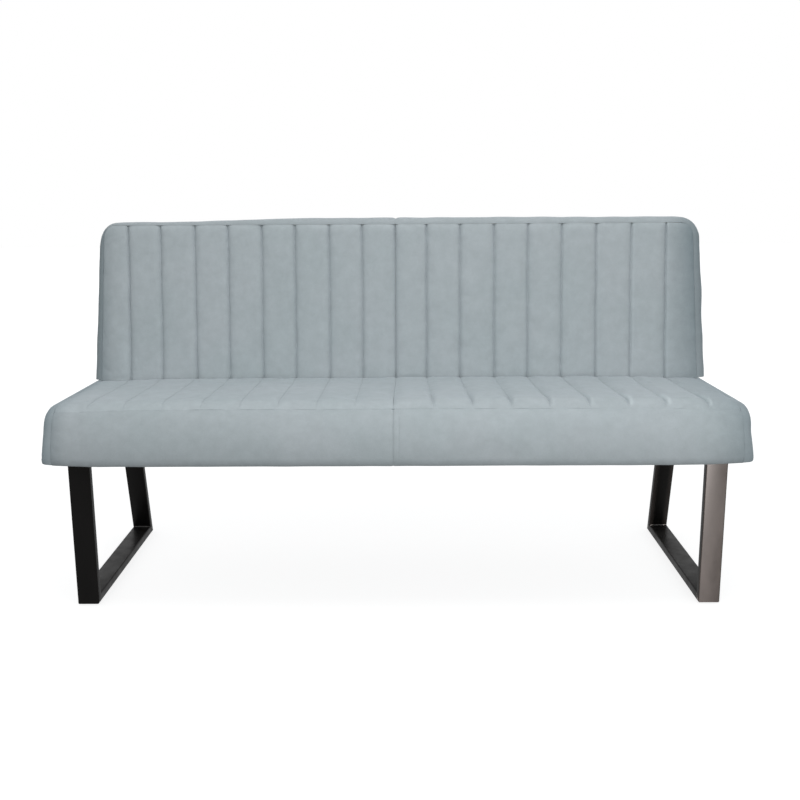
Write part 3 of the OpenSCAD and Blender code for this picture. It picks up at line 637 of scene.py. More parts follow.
# %% Stray seams and puckers
back_strays = {"left": (4.6, 3.9, 3.1, 5.6, 5.2, 6.4, 6.2, 9.1, 6.7),
               "right": (-4.6, -10.1, -9.9, -7.4, -7.2, -5.6, -2.9, 0.6, 4.3)}
front_strays = {"left": (7, 5, 4, 4, 3, 3, 3, 3, 2),
                "right": (-7, -5, -4, -4, -4.4, -2.9, -3.7, -5.7, 4)}
seam_wave = 0.45 * mm


def wandering(columns, way, strays, seed):
    """Sideways stray of the seams along their way: a given one each, and a small seeded wave."""
    draw = np.random.default_rng(seed)
    seams = np.zeros((len(way), half_ribs + 1))
    seams[:, :half_ribs] = strays
    for k in range(1, half_ribs):
        phase = draw.uniform(0, full_turn)
        length = draw.uniform(0.12, 0.3)
        seams[:, k] += seam_wave * np.sin(full_turn * way / length + phase)
    k = np.minimum(np.floor(columns).astype(int), half_ribs - 1)
    t = columns - k
    return seams[:, k] * (1 - t) + seams[:, k + 1] * t


def puckers(columns, way, seed):
    """Small slanting folds beside the channel seams, between -1 and 1."""
    x = columns * rib_w
    return gathers(x * 0.45, way, 13 * mm, seed, seam_distance(columns), 9 * mm, 3 * mm, 9)


print("widest stray of a seam", max(abs(s) for strays in back_strays.values() for s in strays), "mm")

# %% [markdown]
# ## Relief of the seat
#
# Towards the nose the foam lets the thread sink deeper, so the channels open into short grooves
# there, each with a lip beside it, and each rib ends in a round tip where the cross seam pulls it
# down. At the rear the cover rolls down into the crease in front of the backrest. The left half
# is pulled tighter, so its channels are much shallower than those of the right half.
#
# The lips get a painted highlight. A share for each point goes into an attribute of the mesh.

# %% Relief of the seat
channel_depth = {"left": 0.22, "right": 1.0}
# Painted highlight on the lips: on the right half only.
lip_highlight_share = {"left": 0.0, "right": 1.0}
tip_run = 36 * mm
tip_power = 2.2
groove_w = 3.6 * mm
groove_depth = 0.3 * mm
groove_front_depth = 1.5 * mm
lip_at = 7 * mm
lip_w = 3.5 * mm
lip_rise = 1.2 * mm
lip_growth = 2.6 * mm
end_rise = 4 * mm
cross_seam_dip = 1.4 * mm
rear_fall = 6.4 * mm
rear_roll_r = 16 * mm


def seat_ribs(columns, q, hand):
    """Height of the ribs, with their grooves and lips."""
    front = 1 - soft_step(q, 10 * mm, 190 * mm)
    rear = 1 - soft_step(seat_way - q, 0, 70 * mm)
    tip = 1 - (1 - np.clip(q / tip_run, 0, 1)) ** tip_power
    ribs = rib_puff * (1 + 0.2 * front - 0.55 * rear) * rib_profile(columns) * tip
    groove = (groove_depth + groove_front_depth * front) * dip(seam_distance(columns), groove_w) * tip
    near_nose = soft_step(q, 6 * mm, 20 * mm) * (1 - soft_step(q, 60 * mm, 120 * mm))
    lip = (lip_rise + lip_growth * columns / half_ribs) * dip(beside_seam(columns) - lip_at, lip_w)
    return (ribs - groove + lip * near_nose * is_inner(columns)) * channel_depth[hand]


def seat_lift(columns, q, hand, seed):
    """Height of the seat's fabric over its plain shape."""
    x = columns * rib_w
    cross_seam = cross_seam_dip * dip(q, 9 * mm) * (0.7 + 0.3 * bumps(x, 0, 45 * mm, 33))
    rear_roll = 1 - np.sqrt(1 - np.clip(1 - (seat_way - q) / rear_roll_r, 0, 1) ** 2)
    at_end = 1 - soft_step((half_ribs - columns) * rib_w, 0, 60 * mm)
    shape = seat_ribs(columns, q, hand) - cross_seam - rear_fall * rear_roll + end_rise * at_end
    gathered = gathers(x, q * 0.3, 26 * mm, seed + 1, q, 18 * mm, 6 * mm)
    slack = bumps(x, q, 70 * mm, seed + 2) * soft_step(q, 0, 20 * mm)
    return shape + 0.45 * mm * puckers(columns, q, seed) + 0.9 * mm * gathered + 0.5 * mm * slack


def store_lip_highlight(piece, share):
    """Store the share of painted highlight, from 0 to 1, for the outer points of a panel."""
    values = np.zeros(len(piece.data.vertices), dtype=np.float32)
    values[:share.size] = share.ravel()
    piece.data.attributes.new("rubbed", "FLOAT", "POINT").data.foreach_set("value", values)


def painted_lip_highlights(columns, offset, width, hand):
    """Painted highlight beside the inner seams, stronger towards the end of the bench."""
    lips = dip(beside_seam(columns) - offset, width) * is_inner(columns)
    return lips * soft_step(columns, 2, 8) * lip_highlight_share[hand]


print("deepest groove of the seat", round((groove_depth + groove_front_depth) / mm, 1), "mm")

# %% [markdown]
# ## Seat cover
#
# The two ribbed halves of the seat meet in a join at the middle. Each is a grid of rib columns and
# rows along the way from the cross seam to the crease. Its points are moved sideways with the
# stray seams, lifted by the relief, and then settled as cloth with every seam pinned.

# %% Seat cover
fan_share = 0.025
fan_power = 12
seat_ways = spaced(0, seat_way, 5 * mm)


def fan(x, q):
    """The ribs spread a little towards the nose, and the end seam stays straight."""
    share = fan_share * (1 - soft_step(q, 0, 0.8 * seat_way))
    return x * (1 + share * (1 - (np.abs(x) / cover_x) ** fan_power))


def seat_cover(hand):
    """One ribbed half of the seat; its outer grid is given back for the stitches."""
    seed = 40 + sides[hand]
    q = seat_ways[:, None]
    columns = rib_columns[None, :]
    at_rear = soft_step(q, 0, seat_way)
    strays = mm * (np.array(back_strays[hand]) * at_rear + np.array(front_strays[hand]) * (1 - at_rear))
    x = columns * rib_w + seam_gap / 2 * (columns == 0) + wandering(rib_columns, seat_ways, strays, seed + 7)
    x = fan(np.minimum(x, cover_x), q)
    outer = seat_point(x, q, seat_lift(columns, q, hand, seed))
    outer = settled(outer, sewn_down(outer, columns, [0, 1, -2, -1]))
    inner = seat_point(x, q, -panel_t, 0.0)
    piece = sewn("seat_cover", "seat_ribbed_panel", hand, outer, inner, fabric)
    # Painted highlight on the lips near the nose.
    near_nose = soft_step(q, 4 * mm, 16 * mm) * (1 - soft_step(q, 50 * mm, 110 * mm))
    store_lip_highlight(piece, painted_lip_highlights(columns, 5.5 * mm, 4 * mm, hand) * near_nose)
    return outer


seat_outer = {hand: seat_cover(hand) for hand in sides}
print("seat cover rows", len(seat_ways), "columns", len(rib_columns))

# %% [markdown]
# ## Nose cover
#
# Below the cross seam a plain panel runs over the nose, round the bottom edge and under the front
# rail, where staples hold it. It is pulled tight, so it only shows soft, wide waves and a few
# gathers right under the cross seam.

# %% Relief of the nose
corner_fall = 7 * mm
corner_fall_upper = 3 * mm
end_roll_r = 45 * mm
nose_swell = 1.5 * mm
nose_seam_dip = 1.2 * mm
nose_join_dip = 1.6 * mm


def nose_lift(x, way, seed):
    """Height of the plain nose fabric over its shape."""
    to_end = cover_x - x
    end_roll = 1 - np.sqrt(1 - np.clip(1 - to_end / end_roll_r, 0, 1) ** 2)
    below = soft_step(way, 0, 50 * mm)
    lift = nose_swell * (1 - dip(way, 9 * mm)) - nose_seam_dip * dip(way, 8 * mm)
    lift = lift - nose_join_dip * dip(x - x.min(), 2.5 * mm)
    lift = lift - (corner_fall - corner_fall_upper) * below * (1 - soft_step(to_end, 0, 110 * mm))
    lift = lift - corner_fall_upper * end_roll * below
    lift = lift + end_rise * dip(way, 40 * mm) * (1 - soft_step(to_end, 0, 60 * mm))
    gathered = gathers(x, way * 0.25, 30 * mm, seed, way, 22 * mm, 8 * mm)
    waves = bumps(x * 0.8, way * 1.1, 95 * mm, seed + 1) * soft_step(way, 0, 30 * mm)
    end_pull = gathers(x, way * 1.3, 34 * mm, seed + 2, to_end, 45 * mm, 9 * mm)
    return lift + 0.8 * mm * gathered + 0.7 * mm * waves + 0.6 * mm * end_pull


# %% Nose cover
hem_t = 2 * mm
hem_w = 16 * mm
hem_y = front_rail_y + hem_w
foot_inset = 7 * mm
foot_sag = 2.5 * mm
roll_angles = np.radians([8, 18, 29, 40, 52, 64, 77, 90])
below_seam_degs = np.concatenate([[0.1, 0.5, 1.1, 2.0, 3.5], np.linspace(5.5, nose_seam_deg - 3, 27)])
nose_degs = nose_seam_deg - below_seam_degs


def rolled(x, y, z, run, drop):
    """Rows that turn from the foot of a cover through run in depth and drop in height."""
    return [spot(x, y + run * (1 - math.cos(a)), z - drop * math.sin(a)) for a in roll_angles]


def hemmed(wall, roll, x, y, z):
    """The rows of a cover and its roll, and then the hem's flap under the timber."""
    flap = spot(x, y, z)
    return np.stack([*wall, *roll, (roll[-1] + flap) / 2, flap])


def nose_cover(hand):
    """One plain half of the nose, with its hem; its outer grid is given back for the topstitch."""
    join = front_strays[hand][0] * mm
    x = spaced(join + seam_gap / 2, cover_x, 7 * mm)[None, :]
    degs = nose_degs[:, None]
    way = nose_run * np.radians(nose_seam_deg - degs)
    arc = nose_point(x, degs, nose_lift(x, way, 60 + sides[hand]))
    arc_in = nose_point(x, degs, -panel_t, 0.0)
    foot_x, foot_y, foot_z = arc[-1].T
    low_y, low_z = arc_in[-1].T[1:]
    roll_out = rolled(foot_x, foot_y, foot_z, foot_inset, foot_z - hem_z + foot_sag)
    roll_in = rolled(foot_x, low_y, low_z, hem_t, low_z - hem_z - hem_t)
    outer = hemmed(arc, roll_out, foot_x, hem_y, hem_z)
    inner = hemmed(arc_in, roll_in, foot_x, hem_y, hem_z + hem_t)
    sewn("nose_cover", "nose_panel", hand, outer, inner, shaded_nose_fabric)
    return outer


nose_outer = {hand: nose_cover(hand) for hand in sides}
print("nose cover rows", len(nose_outer["right"]))

# %% [markdown]
# ## Seat sides
#
# Each end of the seat is closed by a panel that bulges out between its seams. Its edge follows the
# side view of the seat. A point goes from the edge towards a line in the middle of the panel, and
# rises nearly on a quarter circle as it goes, so the bulge is round at the seam and then flat.

# %% Lines of points
def ways_along(points):
    """The way from the first point to each point of a line."""
    return np.concatenate([[0], np.cumsum(np.linalg.norm(np.diff(points, axis=0), axis=1))])


def at_ways(points, lengths, ways):
    """Points of a line at the given ways, where lengths are the ways of its own points."""
    return np.stack([np.interp(ways, lengths, column) for column in points.T], -1)


def along(points, step):
    """The same line of points, with points about step apart."""
    points = np.asarray(points, float)
    lengths = ways_along(points)
    return at_ways(points, lengths, np.linspace(0, lengths[-1], max(2, round(lengths[-1] / step) + 1)))


def rounded(corner, before, after, r, steps=5):
    """Points that round a corner between the directions to before and to after."""
    corner, before, after = (np.array(p, float) for p in (corner, before, after))
    u = (before - corner) / np.linalg.norm(before - corner)
    v = (after - corner) / np.linalg.norm(after - corner)
    return [corner + r * ((1 - t) ** 2 * u + t ** 2 * v) for t in np.linspace(0, 1, steps)]


# %% Edge of the seat's end
edge_step = 7 * mm
nose_edge_points = 31
top_rear_r = 9 * mm
low_corner_r = 6 * mm


def side_edge():
    """Outline of the seat's end, as points of depth and height, going up the nose and round."""
    degs = np.linspace(0, 90, nose_edge_points)
    way = nose_run * np.radians(nose_seam_deg - degs)
    under_seam = end_rise * dip(way, 40 * mm) - corner_fall * soft_step(way, 0, 50 * mm)
    lift = np.where(way > 0, under_seam, end_rise)
    nose = nose_point(np.full(nose_edge_points, seam_x), degs, lift)[:, 1:]
    top_rear = (rear_y, edge_z(rear_y) + end_rise)
    low_rear = (rear_y, hem_z)
    low_front = (nose[0][0], hem_z)
    corners = [*rounded(top_rear, nose[-1], low_rear, top_rear_r),
               *rounded(low_rear, top_rear, low_front, low_corner_r),
               *rounded(low_front, low_rear, nose[0], low_corner_r)]
    edge = along([*nose, *corners, nose[0]], edge_step)[:-1]
    at_front = 1 - soft_step(edge[:, 0], nose_y + 58.5 * mm, nose_y + 98.5 * mm)
    edge[:, 1] -= foot_sag * at_front * (1 - soft_step(edge[:, 1], hem_z, hem_z + 30 * mm))
    return edge


print("points round the seat's end", len(side_edge()))

# %% Seat sides
side_bulge = end_x - seam_x + 4 * mm
side_x = cover_x + seam_gap
side_shares = np.array([0, 0.02, 0.05, 0.1, 0.17, 0.25, 0.34, 0.45, 0.6, 0.75])
spine_from_nose = 62 * mm
spine_from_rear = 55 * mm
bulge_power = 2.8


def seat_side(hand):
    """The puffed panel that closes one end of the seat."""
    side = sides[hand]
    edge = side_edge()
    spine_y = np.clip(edge[:, 0], nose_y + spine_from_nose, rear_y - spine_from_rear)
    spine = np.stack([spine_y, np.full(len(edge), (hem_z + seat_z) / 2)], -1)
    reach = np.linalg.norm(spine - edge, axis=1)
    turn = side_bulge * (0.35 + 0.65 * soft_step(edge[:, 1], hem_z, hem_z + 40 * mm))
    rings = []
    for share in side_shares:
        y, z = (edge + share * (spine - edge)).T
        depth = np.clip(share * reach / turn, 0, 1)
        rise = side_bulge * (1 - (1 - depth) ** bulge_power) ** 0.5
        waves = bumps(y, z, 60 * mm, 80 + side) * min(1, share * 4) * (1 - soft_step(share, 0.4, 0.7))
        rings.append(spot(side_x - seam_gap + rise + 0.6 * mm * waves, y, z))
    dome = np.stack(rings)
    dome[0, :, 0] = side_x + 0.1 * mm
    points, faces = ring_body(dome)
    faces = [f[::side] for f in faces]
    piece = mesh_piece(f"seat_side_{hand}", handed(points, side), faces, fabric)
    hem_strip(hand)
    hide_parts(f"seat_side_panel_{hand}")


def hem_strip(hand):
    """The side panel's hem, folded in under the end rail and stapled there."""
    side = sides[hand]
    y = along([[hem_y + seam_gap], [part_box("seat_end_rail_right")[1].y - hem_w]], 12 * mm)
    x = np.linspace(side_x - hem_w, side_x + 0.5 * mm, 5)[None, :]
    wave = 0.25 * mm * bumps(x, y, 25 * mm, 90 + side)
    low = spot(x, y, hem_z + 0.25 * mm + wave)
    high = spot(x, y + 0 * x, hem_z + hem_t)
    panel(f"seat_side_hem_{hand}", handed(low, side), handed(high, side), fabric)


for hand in sides:
    seat_side(hand)
print("seat sides bulge", round(side_bulge / mm, 1), "mm")

# %% [markdown]
# ## The shape of the backrest
#
# The front of the backrest is a plane that leans back by eight degrees. Its outline narrows
# slightly towards the top and turns round two corners. The last rib takes up the whole taper, as
# it does when a sewer cuts the end panel to shape, so the other seams stay upright.

# %% Backrest shape
last_rib_x = (half_ribs - 1) * rib_w
back_top_x = seam_x - back_taper
sewn_ease = {"left": 0.0, "right": 4 * mm}


def on_back(x, h, out=0.0):
    """Point in front of the backrest at a place x, a height h up its slope and a distance out."""
    y = back_y + h * math.sin(recline) - out * math.cos(recline)
    z = seat_z + h * math.cos(recline) + out * math.sin(recline)
    return spot(x, y, z)


def back_x(columns, h, ease, stray=0.0):
    """Place along the bench of a column at a height, with the taper in the last rib."""
    plain = columns * rib_w + stray
    edge = cover_x + ease - back_taper * np.maximum(0, h) / back_run
    tapered = last_rib_x + (plain - last_rib_x) * (edge - last_rib_x) / (cover_x - last_rib_x)
    return np.minimum(np.where(plain <= last_rib_x, plain, tapered), edge)


def back_top(columns, ease):
    """Height of the top seam over a column: level, then down round the corner."""
    past = np.maximum(0, back_x(columns, back_run, ease) - (back_top_x + ease - corner_r))
    drop = corner_r - np.sqrt(np.maximum(0, corner_r ** 2 - past ** 2))
    return back_run - seam_gap / 2 - drop


print("backrest", round(back_run / mm), "mm up its slope, half its top", round(back_top_x / mm), "mm")

# %% [markdown]
# ## Backrest cover
#
# The ribs climb the backrest from the crease to the top seam. Thread holds them at the channels,
# at the top and at the ends, and the border pulls the last rib round the edge. At the foot, where
# the cover dives behind the seat, the wadding folds, which shows as short level creases.

# %% Relief of the backrest
edge_puff = 0.6
top_tip_run = 22 * mm
top_tip_power = 2.5
end_turn = {"left": 34 * mm, "right": 60 * mm}
end_drop = {"left": 60 * mm, "right": 95 * mm}
end_back = 6.5 * mm
back_groove_depth = 4.0 * mm
back_groove_w = 2.6 * mm


def end_set_back(to_end, hand):
    """How far the backrest's front falls back towards its end."""
    return end_back * (1 - soft_step(to_end, 0, end_drop[hand]))


def back_ribs(columns, below_top, hand):
    """How far the ribs of the backrest stand out, with their grooves."""
    tip = 1 - (1 - edge_puff) * (1 - np.clip(below_top / top_tip_run, 0, 1)) ** top_tip_power
    to_end = (half_ribs - columns) * rib_w
    end_roll = np.sqrt(1 - (1 - np.clip(to_end / end_turn[hand], 0, 1)) ** 2)
    out = rib_puff * rib_profile(columns) * tip
    out = np.where(columns > half_ribs - 1, np.minimum(out, rib_puff) * end_roll, out)
    inner_seams = dip(seam_distance(columns), back_groove_w) * (columns < half_ribs - 0.5)
    out = out - back_groove_depth * inner_seams * tip - 0.6 * mm * dip(below_top, 5 * mm)
    return out - 1.0 * mm * dip(to_end, 4 * mm) - end_set_back(to_end, hand)


def back_out(columns, h, top, hand, seed):
    """How far the backrest's fabric stands out in front of its plane."""
    x = columns * rib_w
    below_top = top - h
    creased = np.clip(bumps(np.floor(columns) * 0.37, 0, 0.3, seed + 5) + 0.3, 0, 1)
    crease = creased * dip(h - 7 * mm, 2.2 * mm) * rib_profile(columns)
    slack = bumps(x, h, 80 * mm, seed + 2)
    gathered = gathers(x, h * 0.3, 24 * mm, seed + 3, below_top, 14 * mm, 5 * mm)
    out = back_ribs(columns, below_top, hand) - 1.5 * mm * crease
    return out + 0.4 * mm * puckers(columns, h, seed) + 0.45 * mm * slack + 0.6 * mm * gathered


# %% Backrest cover
foot_rows = np.array([-34, -22, -12, -6, -2]) * mm
foot_back = 4 * mm
back_shares = spaced(0, 1, 0.0135, (0.002, 0.005, 0.01, 0.018))
corner_shares = np.array([0.62, 0.68, 0.74, 0.8, 0.85, 0.9, 0.93, 0.96, 0.98, 0.992, 1])
plain_columns = rib_columns[rib_columns < half_ribs - 0.42]
back_columns = np.concatenate([plain_columns, half_ribs - 1 + corner_shares])


def back_cover(hand):
    """One ribbed half of the backrest; its outer grid is given back for the stitches."""
    seed = 120 + sides[hand]
    columns = back_columns[None, :]
    ease = sewn_ease[hand]
    top = back_top(columns, ease)
    foot = np.broadcast_to(foot_rows[:, None], (len(foot_rows), len(back_columns)))
    h = np.concatenate([foot, back_shares[:, None] * top])
    ways = np.concatenate([foot_rows, back_shares * back_run])
    stray = wandering(back_columns, ways, np.array(back_strays[hand]) * mm, seed + 7)
    x = back_x(columns, h, ease, stray) + seam_gap / 2 * (columns == 0)
    out = back_out(columns, np.maximum(h, 0), top, hand, seed) - foot_back * soft_step(-h, 0, 20 * mm)
    outer = on_back(x, h, out)
    pinned = sewn_down(outer, columns, [0, 1, 2, -2, -1])
    pinned[:, -2:] = True
    outer = settled(outer, pinned)
    inner = on_back(x, h, -panel_t)
    piece = sewn("back_cover", "back_ribbed_panel", hand, outer, inner, fabric)
    # A weaker painted highlight on the backrest's lips.
    store_lip_highlight(piece, 0.4 * painted_lip_highlights(columns, 4.5 * mm, 2.5 * mm, hand) * np.ones_like(h))
    return outer


back_outer = {hand: back_cover(hand) for hand in sides}
print("backrest rows", len(foot_rows) + len(back_shares), "columns", len(back_columns))

# %% [markdown]
# ## Backrest border
#
# A padded strip joins the front of the backrest to its rear, up one end, round the corner and along
# the top to the join in the middle. It could be a swept curve, but the strip is deeper at its foot
# than at the top, so each step of its path gets its own cross-section between the two seams.

# %% Path and fullness of the border
foot_bulge = {"left": 6 * mm, "right": 10 * mm}
upper_bulge = {"left": 0.0, "right": 5.5 * mm}
top_slump = {"left": 8 * mm, "right": 1 * mm}
border_depths = np.concatenate([[0, 0.006, 0.016, 0.034, 0.06], np.linspace(0.1, 0.9, 15),
                                [0.94, 0.966, 0.984, 0.994, 1]])


def border_path(ease, join):
    """The outline that the border follows, as places x and heights h, from the foot to the middle."""
    climb = np.linspace(2 * mm, back_run - corner_r, 30)
    ends = [(back_x(half_ribs, h, ease), h) for h in climb]
    turn = np.radians(np.linspace(0, 90, 10))[1:]
    centre = (back_top_x + ease - corner_r, back_run - corner_r)
    corner = [(centre[0] + corner_r * math.cos(a), centre[1] + corner_r * math.sin(a)) for a in turn]
    return along([*ends, *corner, (join + seam_gap / 2, back_run)], 6 * mm)


def border_fullness(x, h, hand):
    """What the border bulges beyond its even bulge: more at the foot, less along the top."""
    foot = foot_bulge[hand] * (1 - soft_step(h, 0, 0.9 * back_run))
    upper = soft_step(h, 0.3 * back_run, 0.6 * back_run) * (1 - soft_step(h, 0.9 * back_run, back_run))
    top = soft_step(x, 200 * mm, 620 * mm) * soft_step(h, 0.85 * back_run, back_run)
    return foot + upper_bulge[hand] * upper - top_slump[hand] * top


print("border sections of", len(border_depths), "points")

# %% Backrest border
def back_border(hand):
    """The padded strip round one half of the backrest."""
    side = sides[hand]
    ease = sewn_ease[hand]
    path = border_path(ease, back_strays[hand][0] * mm)
    heading = np.gradient(path, axis=0)
    heading /= np.linalg.norm(heading, axis=1, keepdims=True)
    heading[0] = (0, 1)
    heading[-1] = (-1, 0)
    normal = np.stack([heading[:, 1], -heading[:, 0]], -1)
    way = ways_along(path)
    path_x, path_h = path.T
    to_end = back_x(half_ribs, np.clip(path_h, 0, back_run), ease) - path_x
    joins_cover = edge_puff * rib_puff * soft_step(to_end, 0, 40 * mm)
    set_back = end_set_back(to_end, hand) + 0.7 * mm - joins_cover

    def section_rows(height):
        """Rows of points from the front seam to the rear seam, at a height over the path."""
        made = []
        for share, tall in zip(border_depths, height):
            at = path + normal * tall[:, None]
            at[-1, 0] = path[-1, 0]
            z = seat_z + at[:, 1] * math.cos(recline)
            front = back_y + math.tan(recline) * (z - seat_z) + set_back
            made.append(spot(at[:, 0], front + share * (rear_y - front), z))
        return np.stack(made)

    across = border_depths[:, None]
    round_share = (1 - np.abs(2 * across - 1) ** 9) ** 0.5
    waves = bumps(way, across * 0.12, 110 * mm, 150 + side) * 0.5 * mm
    folds = bumps(way, across * 0.02, 24 * mm, 160 + side) * 0.3 * mm
    near_seam = np.exp(-np.minimum(across, 1 - across) * 10)
    fuller = border_fullness(path_x, path_h, hand)
    height = seam_gap + (border_bulge + fuller) * np.maximum(round_share, 0.04)
    height = height + (waves + folds * near_seam - 2.5 * mm * dip(way[-1] - way, 4 * mm)) * round_share
    outer = section_rows(height)
    inner = section_rows(np.full(height.shape, seam_gap))
    sewn("back_border_pad", "back_border", hand, outer, inner, shaded_border_fabric)
    return way[-1]


border_ways = [back_border(hand) for hand in sides]
print("border lengths", [round(way / mm) for way in border_ways], "mm")

# %% [markdown]
# ## Rear cover
#
# The back of the bench is plain: two flat panels from the hem to the top seam, drawn over
# hardboard. They could be modelled as one board, but thin wadding lies under them, so each swells
# by a few millimetres, dips at its seams and shows faint slack waves.

# %% Rear cover
plain_t = 3 * mm
rear_bulge = 4 * mm
hem_roll = 6 * mm
rear_seam_dip = 1.6 * mm
low_z = hem_z + hem_roll
timber_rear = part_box("seat_rear_rail")[1].y
rear_columns = np.concatenate([spaced(0, half_ribs - 0.5, 0.13, (0.01, 0.025, 0.05, 0.08))[:-1],
                               half_ribs - 0.5 + np.linspace(0, 0.5, 12)])[None, :]
rear_shares = spaced(0, 1, 0.028, (0.002, 0.005, 0.01, 0.018))[:, None]


def rear_surface(hand):
    """Outer points of one rear panel, from its foot to the top seam."""
    seed = 180 + sides[hand]
    ease = sewn_ease[hand]
    top_z = seat_z + math.cos(recline) * back_top(rear_columns, ease)
    z = low_z + rear_shares * (top_z - low_z)
    join = (back_strays[hand][0] * mm + seam_gap / 2) * (1 - soft_step(rear_columns, 0, 1))
    x = back_x(rear_columns, (z - seat_z) / math.cos(recline), ease) + join
    swell = (1 - np.abs(2 * rear_shares - 1) ** 3) * soft_step(half_ribs - rear_columns, 0, 1.6)
    waves = bumps(x, z, 130 * mm, seed) * 0.9 * mm + bumps(x, z * 0.5, 45 * mm, seed + 1) * 0.35 * mm
    tug = bumps(x, z * 0.2, 28 * mm, seed + 2) * np.exp(-(top_z - z) / (25 * mm)) * 0.5 * mm
    seams = dip(rear_columns * rib_w, 3 * mm) + dip(top_z - z, 4 * mm)
    seams = seams + dip((half_ribs - rear_columns) * rib_w, 4 * mm)
    y = rear_y + rear_bulge * swell + (waves + tug) * (0.25 + 0.75 * swell) - rear_seam_dip * seams
    return spot(x, y, z)


def rear_cover(hand):
    """One plain half of the rear, with its hem."""
    wall = rear_surface(hand)
    wall_in = spot(wall[..., 0], rear_y - plain_t, wall[..., 2])
    foot_x, foot_y = wall[0].T[:2]
    roll_out = rolled(foot_x, foot_y, low_z, -hem_roll, hem_roll)
    roll_in = [spot(foot_x, rear_y - plain_t - hem_t * math.sin(a), low_z + (hem_t - hem_roll) * math.sin(a))
               for a in roll_angles]
    outer = hemmed(wall[::-1], roll_out, foot_x, timber_rear - hem_w, hem_z)[::-1]
    inner = hemmed(wall_in[::-1], roll_in, foot_x, timber_rear - hem_w, hem_z + hem_t)[::-1]
    sewn("rear_cover", "rear_panel", hand, outer, inner, fabric)


for hand in sides:
    rear_cover(hand)
print("rear panels of", len(rear_shares), "by", rear_columns.size, "points")

# %% [markdown]
# ## Stitches
#
# In the bottom of every channel lies a line of lockstitches, and a single topstitch runs down the
# nose beside the middle join. A stitch is a short capsule, a little sunk at both ends. Hundreds of
# them make one mesh, because they are sewn with one thread on the bench too.

# %% Stitches
stitch_l = 3.6 * mm
stitch_pitch = 4.8 * mm
thread_r = 0.42 * mm
stitch_lift = 0.25 * mm
stitch_stations = np.array([0, 0.12, 0.5, 0.88, 1])
stitch_radii = np.array([0.35, 0.9, 1.0, 0.9, 0.35]) * thread_r
stitch_rises = stitch_lift + np.array([-0.5, 0.1, 0.3, 0.1, -0.5]) * thread_r
round_six = np.linspace(0, full_turn, 7)[:-1]


def stitches(line, normals):
    """Capsules along a line of points, lying on the fabric whose normals are given."""
    lengths = ways_along(line)
    made = []
    for start in np.arange(2 * mm, lengths[-1] - stitch_l - mm, stitch_pitch):
        ways = start + stitch_stations * stitch_l
        at = at_ways(line, lengths, ways)
        outward = at_ways(normals, lengths, ways)
        onward = (at[-1] - at[0]) / np.linalg.norm(at[-1] - at[0])
        across = np.cross(outward, onward)
        across /= np.linalg.norm(across, axis=1, keepdims=True)
        centre = at + outward * stitch_rises[:, None]
        rings = [centre + stitch_radii[:, None] * (math.cos(a) * across + math.sin(a) * outward)
                 for a in round_six]
        made.append(ring_body(np.stack(rings, 1)))
    return made


def sew(name, rows):
    """One mesh of stitches from several rows of points and normals."""
    parts = [part for line, normals in rows for part in stitches(line, normals)]
    points, faces = merged(parts)
    mesh_piece(name, points, faces, thread)
    print(name, len(parts), "stitches")


# %% Sew the channels and the nose
def channel_rows(grid, columns, outward, hand, rows):
    """The bottoms of the channels of a ribbed panel, without its join and end seam."""
    made = []
    for k in range(1, half_ribs):
        line = grid[rows, int(np.argmin(np.abs(columns - k)))]
        made.append((handed(line, sides[hand]), handed(np.broadcast_to(outward, line.shape), sides[hand])))
    return made


def nose_outward(deg):
    """Direction straight out of the nose at an angle above the horizontal."""
    angle = np.radians(deg)
    return spot(0, -np.cos(angle), np.sin(angle))


seat_rows = slice(4, len(seat_ways) - 5)
back_rows = slice(len(foot_rows) + 1, len(foot_rows) + len(back_shares) - 4)
seat_outward = nose_outward(nose_deg(seat_ways[seat_rows]))
back_outward = nose_outward(math.degrees(recline))
for hand in sides:
    sew(f"seat_stitches_{hand}", channel_rows(seat_outer[hand], rib_columns, seat_outward, hand, seat_rows))
    sew(f"back_stitches_{hand}", channel_rows(back_outer[hand], back_columns, back_outward, hand, back_rows))

topstitch_x = (front_strays["right"][0] + 11) * mm
topstitch_rows = slice(4, 36)
topstitch_column = int(np.argmin(np.abs(nose_outer["right"][0, :, 0] - topstitch_x)))
roll_degs = np.zeros(len(roll_angles) + 2)
sew("nose_topstitch", [(nose_outer["right"][topstitch_rows, topstitch_column],
                        nose_outward(np.concatenate([nose_degs, roll_degs])[topstitch_rows]))])

# %% [markdown]
# ## Dust cover
#
# Under the seat a thin black cloth hides the frame. It is stapled along its edges and sags a
# little between them. Its size is printed.

# %% Dust cover
sheet_t = 0.5 * mm
sheet_sag = 3.0 * mm
dots_per_metre = 420
plate_in_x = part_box("leg_top_plate_right")[0].x


def dust_cloth():
    """Thin black felted cloth, dotted where it was pressed."""
    material, add = finish("dust_cloth", 0.9)
    where = place(add)
    dots = cells(add, where, 1 / dots_per_metre)
    fibres = noise(add, where, 4 * mm, 4.0, 0.7)
    colour = two_tones(add, fibres, (0.008, 0.008, 0.009), (0.022, 0.022, 0.024))
    return dressed(material, colour, between(add, fibres, 0.8, 0.97), bump(add, dots, 0.15 * mm, 0.7))


